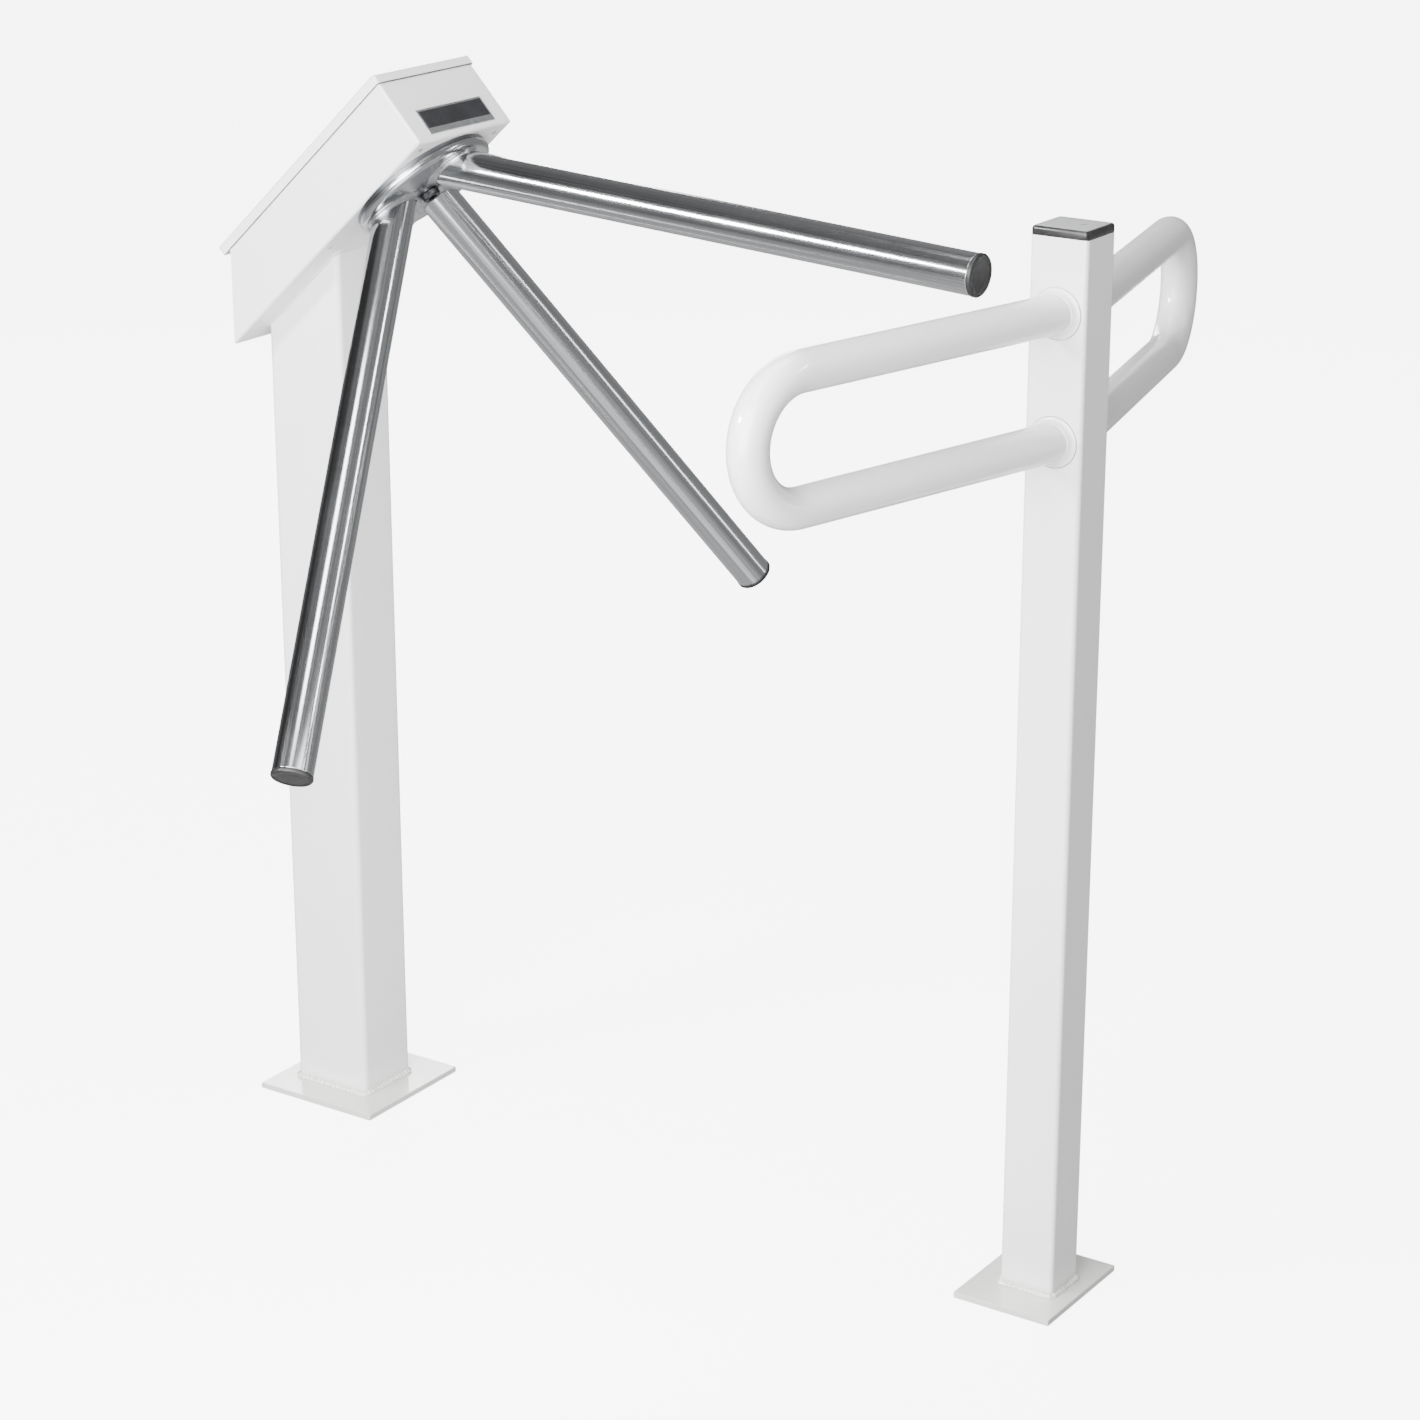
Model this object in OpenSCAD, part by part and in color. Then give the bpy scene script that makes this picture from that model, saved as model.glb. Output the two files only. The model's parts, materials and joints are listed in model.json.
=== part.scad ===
// Tripod turnstile: a pedestal with a sloped mechanism head, a tilted rotor with
// three arms, and a separate guide post with two hoops.
// Origin: centre of the pedestal post on the floor. +X runs across the passage to
// the guide post, +Y along the walking direction, +Z up. Lengths are in millimetres.

/* [Pedestal] */
// Width of the pedestal post across the passage
post_w = 90; // [70:1:120]
// Depth of the pedestal post along the passage
post_d = 75; // [60:1:110]
// Outer corner radius of the pedestal post
post_r = 6; // [4:0.5:12]
// Wall of the pedestal post
post_wall = 3; // [2:0.5:3.5]
// Side of the square pedestal base plate
plate_w = 145; // [130:1:220]
// Offset of the pedestal base plate towards the passage
plate_off = 6; // [0:0.5:12]
// Thickness of both base plates
plate_t = 6; // [4:0.5:12]
// Radius of the cable hole in the pedestal base plate
cable_hole_r = 20; // [10:1:28]

/* [Head] */
// Slope of the head above the horizontal, in degrees
head_slope = 43; // [38:0.5:48]
// Height where the underside of the head crosses the post's centre line
head_rise = 853; // [780:1:950]
// Outer width of the casing along the passage
head_w = 142; // [138:1:180]
// Depth of the casing from its underside to the lid's seam
head_depth = 69; // [67:1:100]
// Distance from the post's centre line to the nose, along the slope
nose_u = 241; // [239:1:300]
// Distance from the post's centre line back to the upright rear wall
head_back = 60; // [56:1:90]
// Thickness of the casing and lid sheet
sheet_t = 1.5; // [1:0.25:2]
// Outer fold radius of the casing and lid
fold_r = 3; // [2.5:0.25:6]
// Height of the lid's skirt
lid_skirt = 10; // [8:0.5:20]
// Overhang of the lid behind the casing's rear wall
lid_overhang = 11; // [6:0.5:16]
// Gap between the lid's skirt and the casing
lid_gap = 0.3; // [0.2:0.05:0.6]

/* [Name plate] */
// Length of the blank plate on the nose
badge_l = 98; // [60:1:120]
// Height of the blank plate on the nose
badge_h = 27; // [12:1:32]
// Thickness of the blank plate
badge_t = 1; // [0.5:0.1:2]
// Height of the plate's lower edge above the underside of the head
badge_low = 6; // [4:0.5:20]

/* [Rotor] */
// Distance of the rotor axis from the post's centre line, along the slope
hub_u = 165; // [163:1:167]
// Radius of the hub disc
hub_r = 72; // [68:0.5:74]
// Thickness of the hub disc
hub_t = 8; // [7.5:0.5:14]
// Rounding of the hub disc's front edge
hub_edge_r = 6; // [2:0.5:7]
// Gap between the hub disc and the fixed cover ring
hub_gap = 0.6; // [0.4:0.1:3]
// Thickness of the fixed cover ring under the head
cover_t = 4; // [1.5:0.5:5]
// Angle between each arm and the rotor axis, in degrees
arm_angle = 43.5; // [42:0.5:45]
// Distance from the underside of the head in to the point where the arms meet
arm_apex = 28; // [26:0.5:30]
// Length of an arm from that point to the face of its cap
arm_reach = 632; // [450:1:750]
// Outer radius of an arm tube
arm_r = 19.05; // [16:0.05:19.5]
// Wall of an arm tube
arm_wall = 2; // [1.2:0.1:3]
// Thickness of the rim of an arm's end cap
arm_cap_t = 5; // [3:0.5:10]
// Depth that an end cap's plug reaches into its tube
plug_l = 18; // [10:1:30]

/* [Mechanism] */
// Radius of the shaft in its bearings and in the wheels on it
shaft_r = 12.5; // [11.5:0.25:13]
// Outer radius of the two bearings
bearing_r = 23.5; // [22.5:0.25:25]
// Width of each bearing
bearing_w = 12; // [11:0.5:13]
// Thickness of the mechanism plate
mech_t = 6; // [4:0.5:7]
// Tooth module of the drive gear and the damper pinion
gear_module = 2; // [1.9:0.05:2.05]
// Teeth on the drive gear
gear_teeth = 50; // [48:2:50]
// Teeth on the damper pinion
pinion_teeth = 20; // [18:2:20]
// Width of the drive gear and of the pinion
gear_w = 8; // [6:0.5:8]
// Radius of the lock wheel
wheel_r = 46; // [44:0.5:47]
// Thickness of the lock wheel and the pawls
wheel_t = 6; // [4:0.5:6.5]
// Notches round the lock wheel
notch_count = 12; // [6:6:12]
// Width of a notch in the lock wheel
notch_w = 9; // [8:0.5:11]
// Depth of a notch in the lock wheel
notch_d = 7; // [6.5:0.25:9]
// Swing of a pawl from released to locked, in degrees
pawl_swing = 8; // [7:0.5:9]

/* [Guide post] */
// Distance between the centres of the two posts
guide_x = 820; // [700:1:900]
// Width of the guide post across the passage
guide_w = 55; // [45:1:80]
// Depth of the guide post along the passage
guide_d = 50; // [45:1:80]
// Outer corner radius of the guide post
guide_r = 4; // [3:0.5:8]
// Wall of the guide post
guide_wall = 2.5; // [2:0.25:3]
// Height of the guide post's tube above the floor
guide_h = 995; // [960:1:1100]
// Width of the guide post's base plate across the passage
guide_plate_w = 100; // [90:1:160]
// Depth of the guide post's base plate along the passage
guide_plate_d = 130; // [100:1:180]
// Offset of the guide post's base plate towards the passage
guide_plate_off = 4; // [0:0.5:12]
// Height of the guide post's cap
guide_cap_t = 8; // [5:0.5:12]

/* [Hoops] */
// Outer radius of the hoop tube
hoop_r = 17.5; // [12:0.5:21]
// Wall of the hoop tube
hoop_wall = 2; // [1.5:0.25:3]
// Height of the hoops' upper bar above the floor
hoop_top = 930; // [850:1:950]
// Distance between a hoop's upper and lower bars
hoop_pitch = 112; // [90:1:160]
// Reach of a hoop from the face of the guide post
hoop_reach = 375; // [250:1:450]
// Lean of a hoop towards the pedestal, in degrees
hoop_lean = 13.5; // [0:0.5:25]

/* [Hidden] */
$fn = 96;

// Colours
white_paint = [0.91, 0.91, 0.92];
steel = [0.62, 0.63, 0.65];
bright_steel = [0.75, 0.76, 0.78];
black_plastic = [0.12, 0.12, 0.13];
dark_steel = [0.22, 0.22, 0.24];
board_green = [0.1, 0.35, 0.2];
brass = [0.72, 0.58, 0.3];
damper_blue = [0.2, 0.28, 0.4];

// Cuts run past the faces they cut by this much
overrun = 1;
// A box of this size holds the whole object
reach = 2000;
// Clearance of a part that turns or slides in another, and of one that sits in another
run_gap = 0.05;
seat_gap = 0.02;
// Gap beside a part that moves past another
side_gap = 0.3;

// Screws: shank radius, head radius, head height, and the hole's extra radius
screw_r = 2.4;
screw_head_r = 4;
screw_head_t = 3.5;
screw_gap = 0.1;

// Head, in its own frame: u runs up the slope, v square to it, from the underside in
head_top = head_depth + lid_skirt;
casing_top = head_top - fold_r;
seam_rear_u = (head_depth * sin(head_slope) - head_back) / cos(head_slope);
lid_rear_u = seam_rear_u - lid_overhang;
lid_nose_u = nose_u + lid_gap + sheet_t;
lid_w = head_w + 2 * (lid_gap + sheet_t);
block_start_u = -head_back - head_top;
lid_screw_y_share = 0.36;
lid_block_w = 14;
lid_block_gap = 2;

// Mechanism plate, inside the casing under the rotor
mech_margin = 4;
mech_low = sheet_t;
mech_top = mech_low + mech_t;
mech_u0 = 64;
mech_u1 = nose_u - sheet_t - mech_margin;
mech_w = head_w - 2 * (sheet_t + mech_margin);
mech_screw_in = 9;

// Shaft and bearings, as heights along the rotor axis
lip_t = 4;
shoulder_step = 3.5;
shoulder_r = shaft_r + shoulder_step;
shoulder_gap = 4;
lip_r = shoulder_r + shoulder_gap;
bearing_low = mech_low + lip_t;
bearing_mid = bearing_low + bearing_w;
bearing_spacer_t = 4;
bearing_high = bearing_mid + bearing_spacer_t;
bearing_top = bearing_high + bearing_w;
race_t = 3;
ball_r = 4;
ball_gap = 0.15;
ball_count = 9;
ball_pitch_r = (shaft_r + bearing_r) / 2;
circlip_t = 1.2;
housing_wall = 7.5;
housing_r = bearing_r + housing_wall;
housing_rim = 2;
housing_top = bearing_top + housing_rim;
spigot_step = 3;
spigot_r = housing_r - spigot_step;
flange_r = 45;
flange_t = 6;
flange_screw_r = 38.5;
flange_screw_count = 4;
hub_rear = cover_t + hub_gap;
hub_face = hub_rear + hub_t;

// Wheels on the shaft
wheel_space = 4;
gear_hub_wall = 4.5;
gear_hub_r = shaft_r + gear_hub_wall;
gear_low = bearing_top + wheel_space;
gear_top = gear_low + gear_w;
wheel_low = gear_top + wheel_space;
wheel_top = wheel_low + wheel_t;
shaft_washer_t = 1.5;
shaft_washer_w = 4;
shaft_washer_r = shaft_r + shaft_washer_w;
nut_t = 6;
nut_r = 17;
thread_step = 2.5;
thread_over = 1.5;
thread_r = shaft_r - thread_step;
shaft_end = wheel_top + shaft_washer_t + nut_t + thread_over;
key_w = 6;
key_depth = 3.5;
key_rise = 2.5;
key_short = 0.5;
key_in = shaft_r - key_depth;
key_out = shaft_r + key_rise;
key_low = gear_low + key_short;
key_high = wheel_top - key_short;
addendum_share = 0.75;
dedendum_share = 1.2;
tooth_share = 0.41;
tip_share = 0.24;
root_share = 0.6;

// Bolt through the hub disc into the shaft
bolt_r = 5;
bolt_head_r = 9;
bolt_head_t = 6;
bolt_socket_r = 5;
bolt_socket_d = 4;
bolt_l = 18;
bolt_gap = 0.5;
hub_washer_r = 11;
hub_washer_t = 1.5;
dowel_r = 2.5;
dowel_at = 10.5;
dowel_in = 7;
cover_step = 0.5;
cover_w = 18;
cover_r = hub_r - cover_step;
cover_in_r = cover_r - cover_w;

// Damper beside the shaft, its pinion in mesh with the drive gear
gear_r = gear_module * gear_teeth / 2;
pinion_r = gear_module * pinion_teeth / 2;
damper_u = hub_u - gear_r - pinion_r;
damper_r = 22;
damper_space = 4;
damper_top = gear_low - damper_space;
damper_shaft_r = 4;
damper_shaft_in = 20;
damper_foot_step = 3;
damper_foot_r = damper_r - damper_foot_step;
damper_foot_t = 3;
damper_neck_r = 9;
damper_neck_t = 2;

// Pawls: bell cranks on posts either side of the damper
pawl_back = 40;
pawl_out = 8;
pawl_u = hub_u - pawl_back;
pawl_y = wheel_r + pawl_out;
pawl_arm_w = 8;
pawl_boss_r = 8;
pawl_tip_gap = 1.2;
pawl_side_gap = 0.8;
pawl_end_gap = 2;
pawl_tip_w = notch_w - 2 * pawl_tip_gap;
pawl_tooth_w = notch_w - 2 * pawl_side_gap;
pawl_bite = notch_d - pawl_end_gap;
pawl_tail = 16;
pawl_tail_r = 4;
pawl_tail_w = 6;
pawl_arm_over = 1;
pawl_pin_r = 1.5;
pawl_post_r = 4;
pawl_collar_r = 7;
pawl_foot_r = 8;
pawl_foot_t = 4;
pawl_clip_r = 6.5;
pawl_clip_t = 1;
pawl_groove_d = 0.8;
pawl_groove_r = pawl_post_r - pawl_groove_d;
pawl_post_over = 1.5;
pawl_post_top = wheel_top + side_gap + pawl_clip_t + pawl_post_over;
pawl_spring_t = 1.5;
pawl_spring_h = 10;
plunger_axis = (wheel_low + wheel_top) / 2;

// Solenoids pull the pawls' tails towards the rear
plunger_y = pawl_y - pawl_tail;
plunger_r = 4;
fork_w = 9;
fork_t = 1.7;
fork_l = 16;
fork_bridge = 6;
solenoid_w = 22;
solenoid_l = 30;
solenoid_gap = 5;
solenoid_front_u = pawl_u - fork_l + pawl_tail_r - solenoid_gap;
solenoid_bore_l = 24;
coil_r = 9;
coil_end_t = 3;
frame_plate_t = 3;
plunger_in = 14;
bracket_t = 3;
bracket_w = 18;
bracket_l = 24;

// Control board at the rear of the head
board_u0 = 0;
board_l = 54;
board_w = 92;
board_t = 1.6;
board_hole_in = 5;
standoff_h = 9;
standoff_r = 3;
board_low = sheet_t + standoff_h;
chip_l = 14;
chip_w = 12;
chip_t = 3;
relay_l = 16;
relay_w = 14;
relay_h = 15;
terminal_l = 10;
terminal_w = 46;
terminal_h = 11;
terminal_ways = 6;
wire_hole_r = 2.5;
wire_hole_d = 6;
casing_cable_r = 18;
casing_cable_u = -26;

// Guide post
cap_edge = 3;
cap_plug_t = 12;
cap_gap = 0.1;
hoop_bend_r = hoop_pitch / 2;
hoop_straight = hoop_reach - hoop_bend_r - hoop_r;

// Frame of the head: x up the slope, y along the passage, z in from the underside
module in_head() {
    translate([0, 0, head_rise]) rotate([0, -head_slope, 0]) children();
}

// Frame of the rotor: its axis is z, and z = 0 is the underside of the head
module on_hub() {
    in_head() translate([hub_u, 0, 0]) children();
}

// Flat ring or disc between two heights
module ring(outer, inner, low, high) {
    translate([0, 0, low]) difference() {
        cylinder(r = outer, h = high - low);
        translate([0, 0, -overrun]) cylinder(r = inner, h = high - low + 2 * overrun);
    }
}

module disc(radius, low, high) {
    translate([0, 0, low]) cylinder(r = radius, h = high - low);
}

// Rectangle with round corners, centred
module rounded_rect(w, d, r) {
    square([w - 2 * r, d], center = true);
    square([w, d - 2 * r], center = true);
    for (x = [-1, 1], y = [-1, 1])
        translate([x * (w / 2 - r), y * (d / 2 - r)]) circle(r);
}

// Rectangle that stands on the x axis, with its two upper corners round
module arch(w, h, r) {
    translate([-w / 2, 0]) square([w, h - r]);
    translate([r - w / 2, 0]) square([w - 2 * r, h]);
    for (side = [-1, 1]) translate([side * (w / 2 - r), h - r]) circle(r);
}

// Block of folded sheet form: upright corners and upper edges round, flat below
module soft_block(l, w, h, r) {
    intersection() {
        translate([l / 2, 0, 0]) linear_extrude(h) rounded_rect(l, w, r);
        rotate([90, 0, 90]) linear_extrude(l) arch(w, h, r);
        translate([l / 2, w / 2, 0]) rotate([90, 0, 0]) linear_extrude(w) arch(l, h, r);
    }
}

// The head's outer form without its lid, drawn in by inset on every closed side
module head_volume(inset, over) {
    intersection() {
        in_head() translate([block_start_u, 0, casing_top + over]) mirror([0, 0, 1])
            soft_block(nose_u - inset - block_start_u, head_w - 2 * inset,
                casing_top + over - inset, fold_r - inset);
        translate([inset - head_back, -head_w, 0]) cube([reach, 2 * head_w, reach]);
    }
}

// Rectangular tube from one height to another
module tube(w, d, r, wall, low, high) {
    translate([0, 0, low]) linear_extrude(high - low) difference() {
        rounded_rect(w, d, r);
        rounded_rect(w - 2 * wall, d - 2 * wall, r - wall);
    }
}

// Screw whose head stands on a face at this height, its shank reaching down
module screw(face, shank) {
    disc(screw_head_r, face, face + screw_head_t);
    disc(screw_r, face - shank, face + screw_head_t / 2);
}

module mech_screw_places() {
    for (u = [mech_u0 + mech_screw_in, mech_u1 - mech_screw_in], side = [-1, 1])
        translate([u, side * (mech_w / 2 - mech_screw_in), 0]) children();
}

module flange_screw_places() {
    for (i = [0 : flange_screw_count - 1])
        rotate([0, 0, (i + 0.5) * 360 / flange_screw_count])
            translate([flange_screw_r, 0, 0]) children();
}

module board_screw_places() {
    for (u = [board_u0 + board_hole_in, board_u0 + board_l - board_hole_in], side = [-1, 1])
        translate([u, side * (board_w / 2 - board_hole_in), 0]) children();
}

module lid_screw_places() {
    for (side = [-1, 1])
        translate([lid_rear_u, side * lid_screw_y_share * lid_w, head_depth + lid_skirt / 2])
            rotate([0, -90, 0]) children();
}

// Pedestal
module pedestal_base_plate() {
    color(white_paint) difference() {
        translate([plate_off - plate_w / 2, -plate_w / 2, 0]) cube([plate_w, plate_w, plate_t]);
        disc(cable_hole_r, -overrun, plate_t + overrun);
    }
}

module pedestal_post() {
    color(white_paint) difference() {
        tube(post_w, post_d, post_r, post_wall, plate_t, head_rise + post_w);
        in_head() translate([-reach / 2, -reach / 2, 0]) cube(reach);
    }
}

// Head
module head_casing() {
    color(white_paint) difference() {
        head_volume(0, 0);
        head_volume(sheet_t, overrun);
        on_hub() disc(lip_r, -overrun, sheet_t + overrun);
        in_head() {
            translate([casing_cable_u, 0, 0]) disc(casing_cable_r, -overrun, sheet_t + overrun);
            mech_screw_places() disc(screw_r + screw_gap, -overrun, sheet_t + overrun);
        }
    }
}

module head_lid() {
    color(white_paint) in_head() difference() {
        translate([lid_rear_u, 0, head_depth])
            soft_block(lid_nose_u - lid_rear_u, lid_w, lid_skirt, fold_r);
        translate([lid_rear_u + sheet_t, 0, head_depth - overrun])
            soft_block(lid_nose_u - lid_rear_u - 2 * sheet_t, lid_w - 2 * sheet_t,
                lid_skirt - sheet_t + overrun, fold_r - sheet_t);
        lid_screw_places() disc(screw_r + screw_gap, -sheet_t - overrun, overrun);
    }
}

// Tapped blocks on the rear wall that the lid is screwed to
module lid_blocks() {
    block_h = lid_skirt - sheet_t - 2 * lid_block_gap;
    color(white_paint) difference() {
        in_head() for (side = [-1, 1])
            translate([lid_rear_u + sheet_t + seat_gap,
                side * lid_screw_y_share * lid_w - lid_block_w / 2,
                head_depth + lid_skirt / 2 - block_h / 2])
                cube([2 * lid_overhang, lid_block_w, block_h]);
        head_volume(0, overrun);
        in_head() lid_screw_places() disc(screw_r + run_gap, -reach, overrun);
    }
}

module lid_screws() {
    color(bright_steel) in_head() lid_screw_places() screw(0, lid_skirt / 2);
}

module name_plate() {
    color(dark_steel) in_head()
        translate([nose_u, -badge_l / 2, badge_low]) cube([badge_t, badge_l, badge_h]);
}

module cover_ring() {
    color(dark_steel) on_hub() ring(cover_r, cover_in_r, -cover_t, 0);
}

module mechanism_plate() {
    color(steel) in_head() difference() {
        translate([mech_u0, -mech_w / 2, mech_low]) cube([mech_u1 - mech_u0, mech_w, mech_t]);
        translate([hub_u, 0, 0]) {
            disc(spigot_r + seat_gap, mech_low - overrun, mech_top + overrun);
            flange_screw_places()
                disc(screw_r + screw_gap, mech_low - overrun, mech_top + overrun);
        }
        mech_screw_places() disc(screw_r + screw_gap, mech_low - overrun, mech_top + overrun);
    }
}

module mechanism_screws() {
    color(bright_steel) in_head() mech_screw_places() screw(mech_top, mech_t + sheet_t);
}

// Bearings and shaft
module bearing_housing() {
    color(steel) on_hub() difference() {
        union() {
            disc(spigot_r, mech_low, mech_top + overrun);
            disc(flange_r, mech_top, mech_top + flange_t);
            disc(housing_r, mech_top, housing_top);
        }
        disc(lip_r, mech_low - overrun, bearing_low + overrun);
        disc(bearing_r + seat_gap, bearing_low, bearing_mid);
        disc(bearing_r - race_t, bearing_mid - overrun, bearing_high + overrun);
        disc(bearing_r + seat_gap, bearing_high, housing_top + overrun);
        flange_screw_places()
            disc(screw_r + screw_gap, mech_top - overrun, mech_top + flange_t + overrun);
    }
}

module housing_screws() {
    color(bright_steel) on_hub()
        flange_screw_places() screw(mech_top + flange_t, flange_t + mech_t / 2);
}

module at_bearings() {
    for (low = [bearing_low, bearing_high]) translate([0, 0, low]) children();
}

// Bearing ring with the groove that its balls run in
module race(outer, inner) {
    rotate_extrude() difference() {
        translate([inner, 0]) square([outer - inner, bearing_w]);
        translate([ball_pitch_r, bearing_w / 2]) circle(ball_r + ball_gap);
    }
}

module bearing_outer_rings() {
    color(steel) on_hub() at_bearings() race(bearing_r, bearing_r - race_t);
}

module bearing_inner_rings() {
    color(steel) on_hub() at_bearings() race(shaft_r + race_t, shaft_r + seat_gap);
}

module bearing_balls() {
    color(bright_steel) on_hub() at_bearings()
        for (i = [0 : ball_count - 1]) rotate([0, 0, i * 360 / ball_count])
            translate([ball_pitch_r, 0, bearing_w / 2]) sphere(ball_r);
}

module bearing_spacer() {
    color(steel) on_hub() ring(shaft_r + race_t, shaft_r + seat_gap, bearing_mid, bearing_high);
}

module bearing_circlip() {
    color(dark_steel) on_hub()
        ring(bearing_r, bearing_r - race_t, bearing_top, bearing_top + circlip_t);
}

module key_space(gap) {
    translate([key_in, -key_w / 2 - gap, key_low - gap])
        cube([key_out - key_in + gap, key_w + 2 * gap, key_high - key_low + 2 * gap]);
}

module rotor_shaft() {
    color(steel) on_hub() difference() {
        union() {
            disc(shoulder_r, -hub_rear, bearing_low);
            disc(shaft_r, bearing_low, wheel_top);
            disc(thread_r, wheel_top, shaft_end);
        }
        disc(bolt_r + run_gap, -hub_rear - overrun, bolt_l - hub_face + bolt_gap);
        dowel_places() disc(dowel_r + seat_gap, -hub_rear - overrun, dowel_in - hub_rear);
        key_space(seat_gap);
    }
}

module drive_key() {
    color(dark_steel) on_hub() key_space(0);
}

// Teeth with straight flanks, as points round the gear: root, pitch, tip and back
function tooth_points(teeth, angle) = let (
    pitch = gear_module * teeth / 2,
    step = 360 / teeth,
    tip = pitch + addendum_share * gear_module,
    root = pitch - dedendum_share * gear_module
) [
    for (p = [
        [root, -root_share], [pitch, -tooth_share], [tip, -tip_share],
        [tip, tip_share], [pitch, tooth_share], [root, root_share]
    ]) p[0] * [cos(angle + p[1] * step / 2), sin(angle + p[1] * step / 2)]
];

module gear_outline(teeth, turn) {
    polygon([for (i = [0 : teeth - 1]) each tooth_points(teeth, turn + i * 360 / teeth)]);
}

module drive_gear() {
    color(brass) on_hub() difference() {
        union() {
            translate([0, 0, gear_low]) linear_extrude(gear_w) gear_outline(gear_teeth, 0);
            disc(gear_hub_r, bearing_top + side_gap, gear_low + overrun);
        }
        disc(shaft_r + seat_gap, bearing_top, gear_top + overrun);
        key_space(seat_gap);
    }
}

module wheel_spacer() {
    color(steel) on_hub() difference() {
        ring(gear_hub_r, shaft_r + seat_gap, gear_top, wheel_low);
        key_space(seat_gap);
    }
}

module lock_wheel() {
    color(steel) on_hub() difference() {
        ring(wheel_r, shaft_r + seat_gap, wheel_low, wheel_top);
        for (i = [0 : notch_count - 1]) rotate([0, 0, i * 360 / notch_count])
            translate([wheel_r - notch_d, -notch_w / 2, wheel_low - overrun])
                cube([notch_d + overrun, notch_w, wheel_t + 2 * overrun]);
        key_space(seat_gap);
    }
}

module shaft_washer() {
    color(bright_steel) on_hub()
        ring(shaft_washer_r, thread_r + run_gap, wheel_top, wheel_top + shaft_washer_t);
}

module shaft_nut() {
    color(bright_steel) on_hub() difference() {
        translate([0, 0, wheel_top + shaft_washer_t]) cylinder(r = nut_r, h = nut_t, $fn = 6);
        disc(thread_r + run_gap, wheel_top, shaft_end + overrun);
    }
}

// Hub and arms
module dowel_places() {
    for (side = [-1, 1]) translate([0, side * dowel_at, 0]) children();
}

module hub_disc() {
    color(bright_steel) on_hub() difference() {
        translate([0, 0, -hub_face]) rotate_extrude() {
            square([hub_r - hub_edge_r, hub_t]);
            translate([0, hub_edge_r]) square([hub_r, hub_t - hub_edge_r]);
            translate([hub_r - hub_edge_r, hub_edge_r]) intersection() {
                circle(hub_edge_r);
                translate([0, -hub_edge_r]) square(hub_edge_r);
            }
        }
        disc(bolt_r + bolt_gap, -hub_face - overrun, overrun - hub_rear);
        dowel_places() disc(dowel_r + seat_gap, -hub_rear - dowel_in, overrun - hub_rear);
    }
}

module hub_dowels() {
    color(steel) on_hub() dowel_places() disc(dowel_r, -hub_rear - dowel_in, dowel_in - hub_rear);
}

module hub_washer() {
    color(dark_steel) on_hub()
        ring(hub_washer_r, bolt_r + run_gap, -hub_face - hub_washer_t, -hub_face);
}

module hub_bolt() {
    head_low = -hub_face - hub_washer_t - bolt_head_t;
    color(dark_steel) on_hub() difference() {
        union() {
            disc(bolt_head_r, head_low, head_low + bolt_head_t);
            disc(bolt_r, head_low + bolt_head_t, bolt_l - hub_face);
        }
        translate([0, 0, head_low - overrun])
            cylinder(r = bolt_socket_r, h = bolt_socket_d + overrun, $fn = 6);
    }
}

// Frame of an arm: z runs out along it from the point where the arms meet
module on_arm(index) {
    on_hub() translate([0, 0, arm_apex]) rotate([0, 0, index * 120])
        rotate([0, 180 - arm_angle, 0]) children();
}

module arm(index) {
    color(bright_steel) difference() {
        on_arm(index) ring(arm_r, arm_r - arm_wall, 0, arm_reach - arm_cap_t);
        on_hub() translate([-reach / 2, -reach / 2, -hub_face]) cube(reach);
    }
}

module arm_cap(index) {
    color(black_plastic) on_arm(index) {
        rim = arm_r + arm_wall / 4;
        chamfer = arm_cap_t / 3;
        disc(rim, arm_reach - arm_cap_t, arm_reach - chamfer);
        translate([0, 0, arm_reach - chamfer]) cylinder(r1 = rim, r2 = rim - chamfer, h = chamfer);
        disc(arm_r - arm_wall - run_gap, arm_reach - arm_cap_t - plug_l, arm_reach - arm_cap_t);
    }
}

module arm_1() { arm(0); }
module arm_2() { arm(-1); }
module arm_3() { arm(1); }
module arm_cap_1() { arm_cap(0); }
module arm_cap_2() { arm_cap(-1); }
module arm_cap_3() { arm_cap(1); }

// Damper and its pinion
module damper_body() {
    color(damper_blue) in_head() translate([damper_u, 0, 0]) difference() {
        union() {
            disc(damper_foot_r, mech_top, mech_top + damper_foot_t);
            disc(damper_r, mech_top + damper_foot_t, damper_top - damper_neck_t);
            disc(damper_neck_r, damper_top - damper_neck_t - overrun, damper_top);
        }
        disc(damper_shaft_r + run_gap, damper_top - damper_shaft_in, damper_top + overrun);
    }
}

module damper_pinion() {
    color(brass) in_head() translate([damper_u, 0, 0]) {
        translate([0, 0, gear_low]) linear_extrude(gear_w)
            gear_outline(pinion_teeth, 180 / pinion_teeth);
        disc(damper_neck_r, damper_top + side_gap, gear_low + overrun);
        disc(damper_shaft_r, damper_top - damper_shaft_in + side_gap, gear_low + overrun);
    }
}

// Pawls and what moves them. Side 1 is towards +Y, side -1 towards -Y.
module at_pawl(side) {
    in_head() mirror([0, side < 0 ? 1 : 0, 0]) translate([pawl_u, pawl_y, 0]) children();
}

module pawl_posts() {
    color(steel) for (side = [-1, 1]) at_pawl(side) difference() {
        union() {
            disc(pawl_foot_r, mech_top, mech_top + pawl_foot_t);
            disc(pawl_collar_r, mech_top, wheel_low - side_gap);
            disc(pawl_post_r, mech_top, pawl_post_top);
        }
        ring(pawl_collar_r, pawl_groove_r, wheel_top + side_gap, wheel_top + side_gap + pawl_clip_t);
    }
}

module pawl_clips() {
    color(dark_steel) for (side = [-1, 1]) at_pawl(side)
        ring(pawl_clip_r, pawl_groove_r + seat_gap, wheel_top + side_gap,
            wheel_top + side_gap + pawl_clip_t);
}

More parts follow.
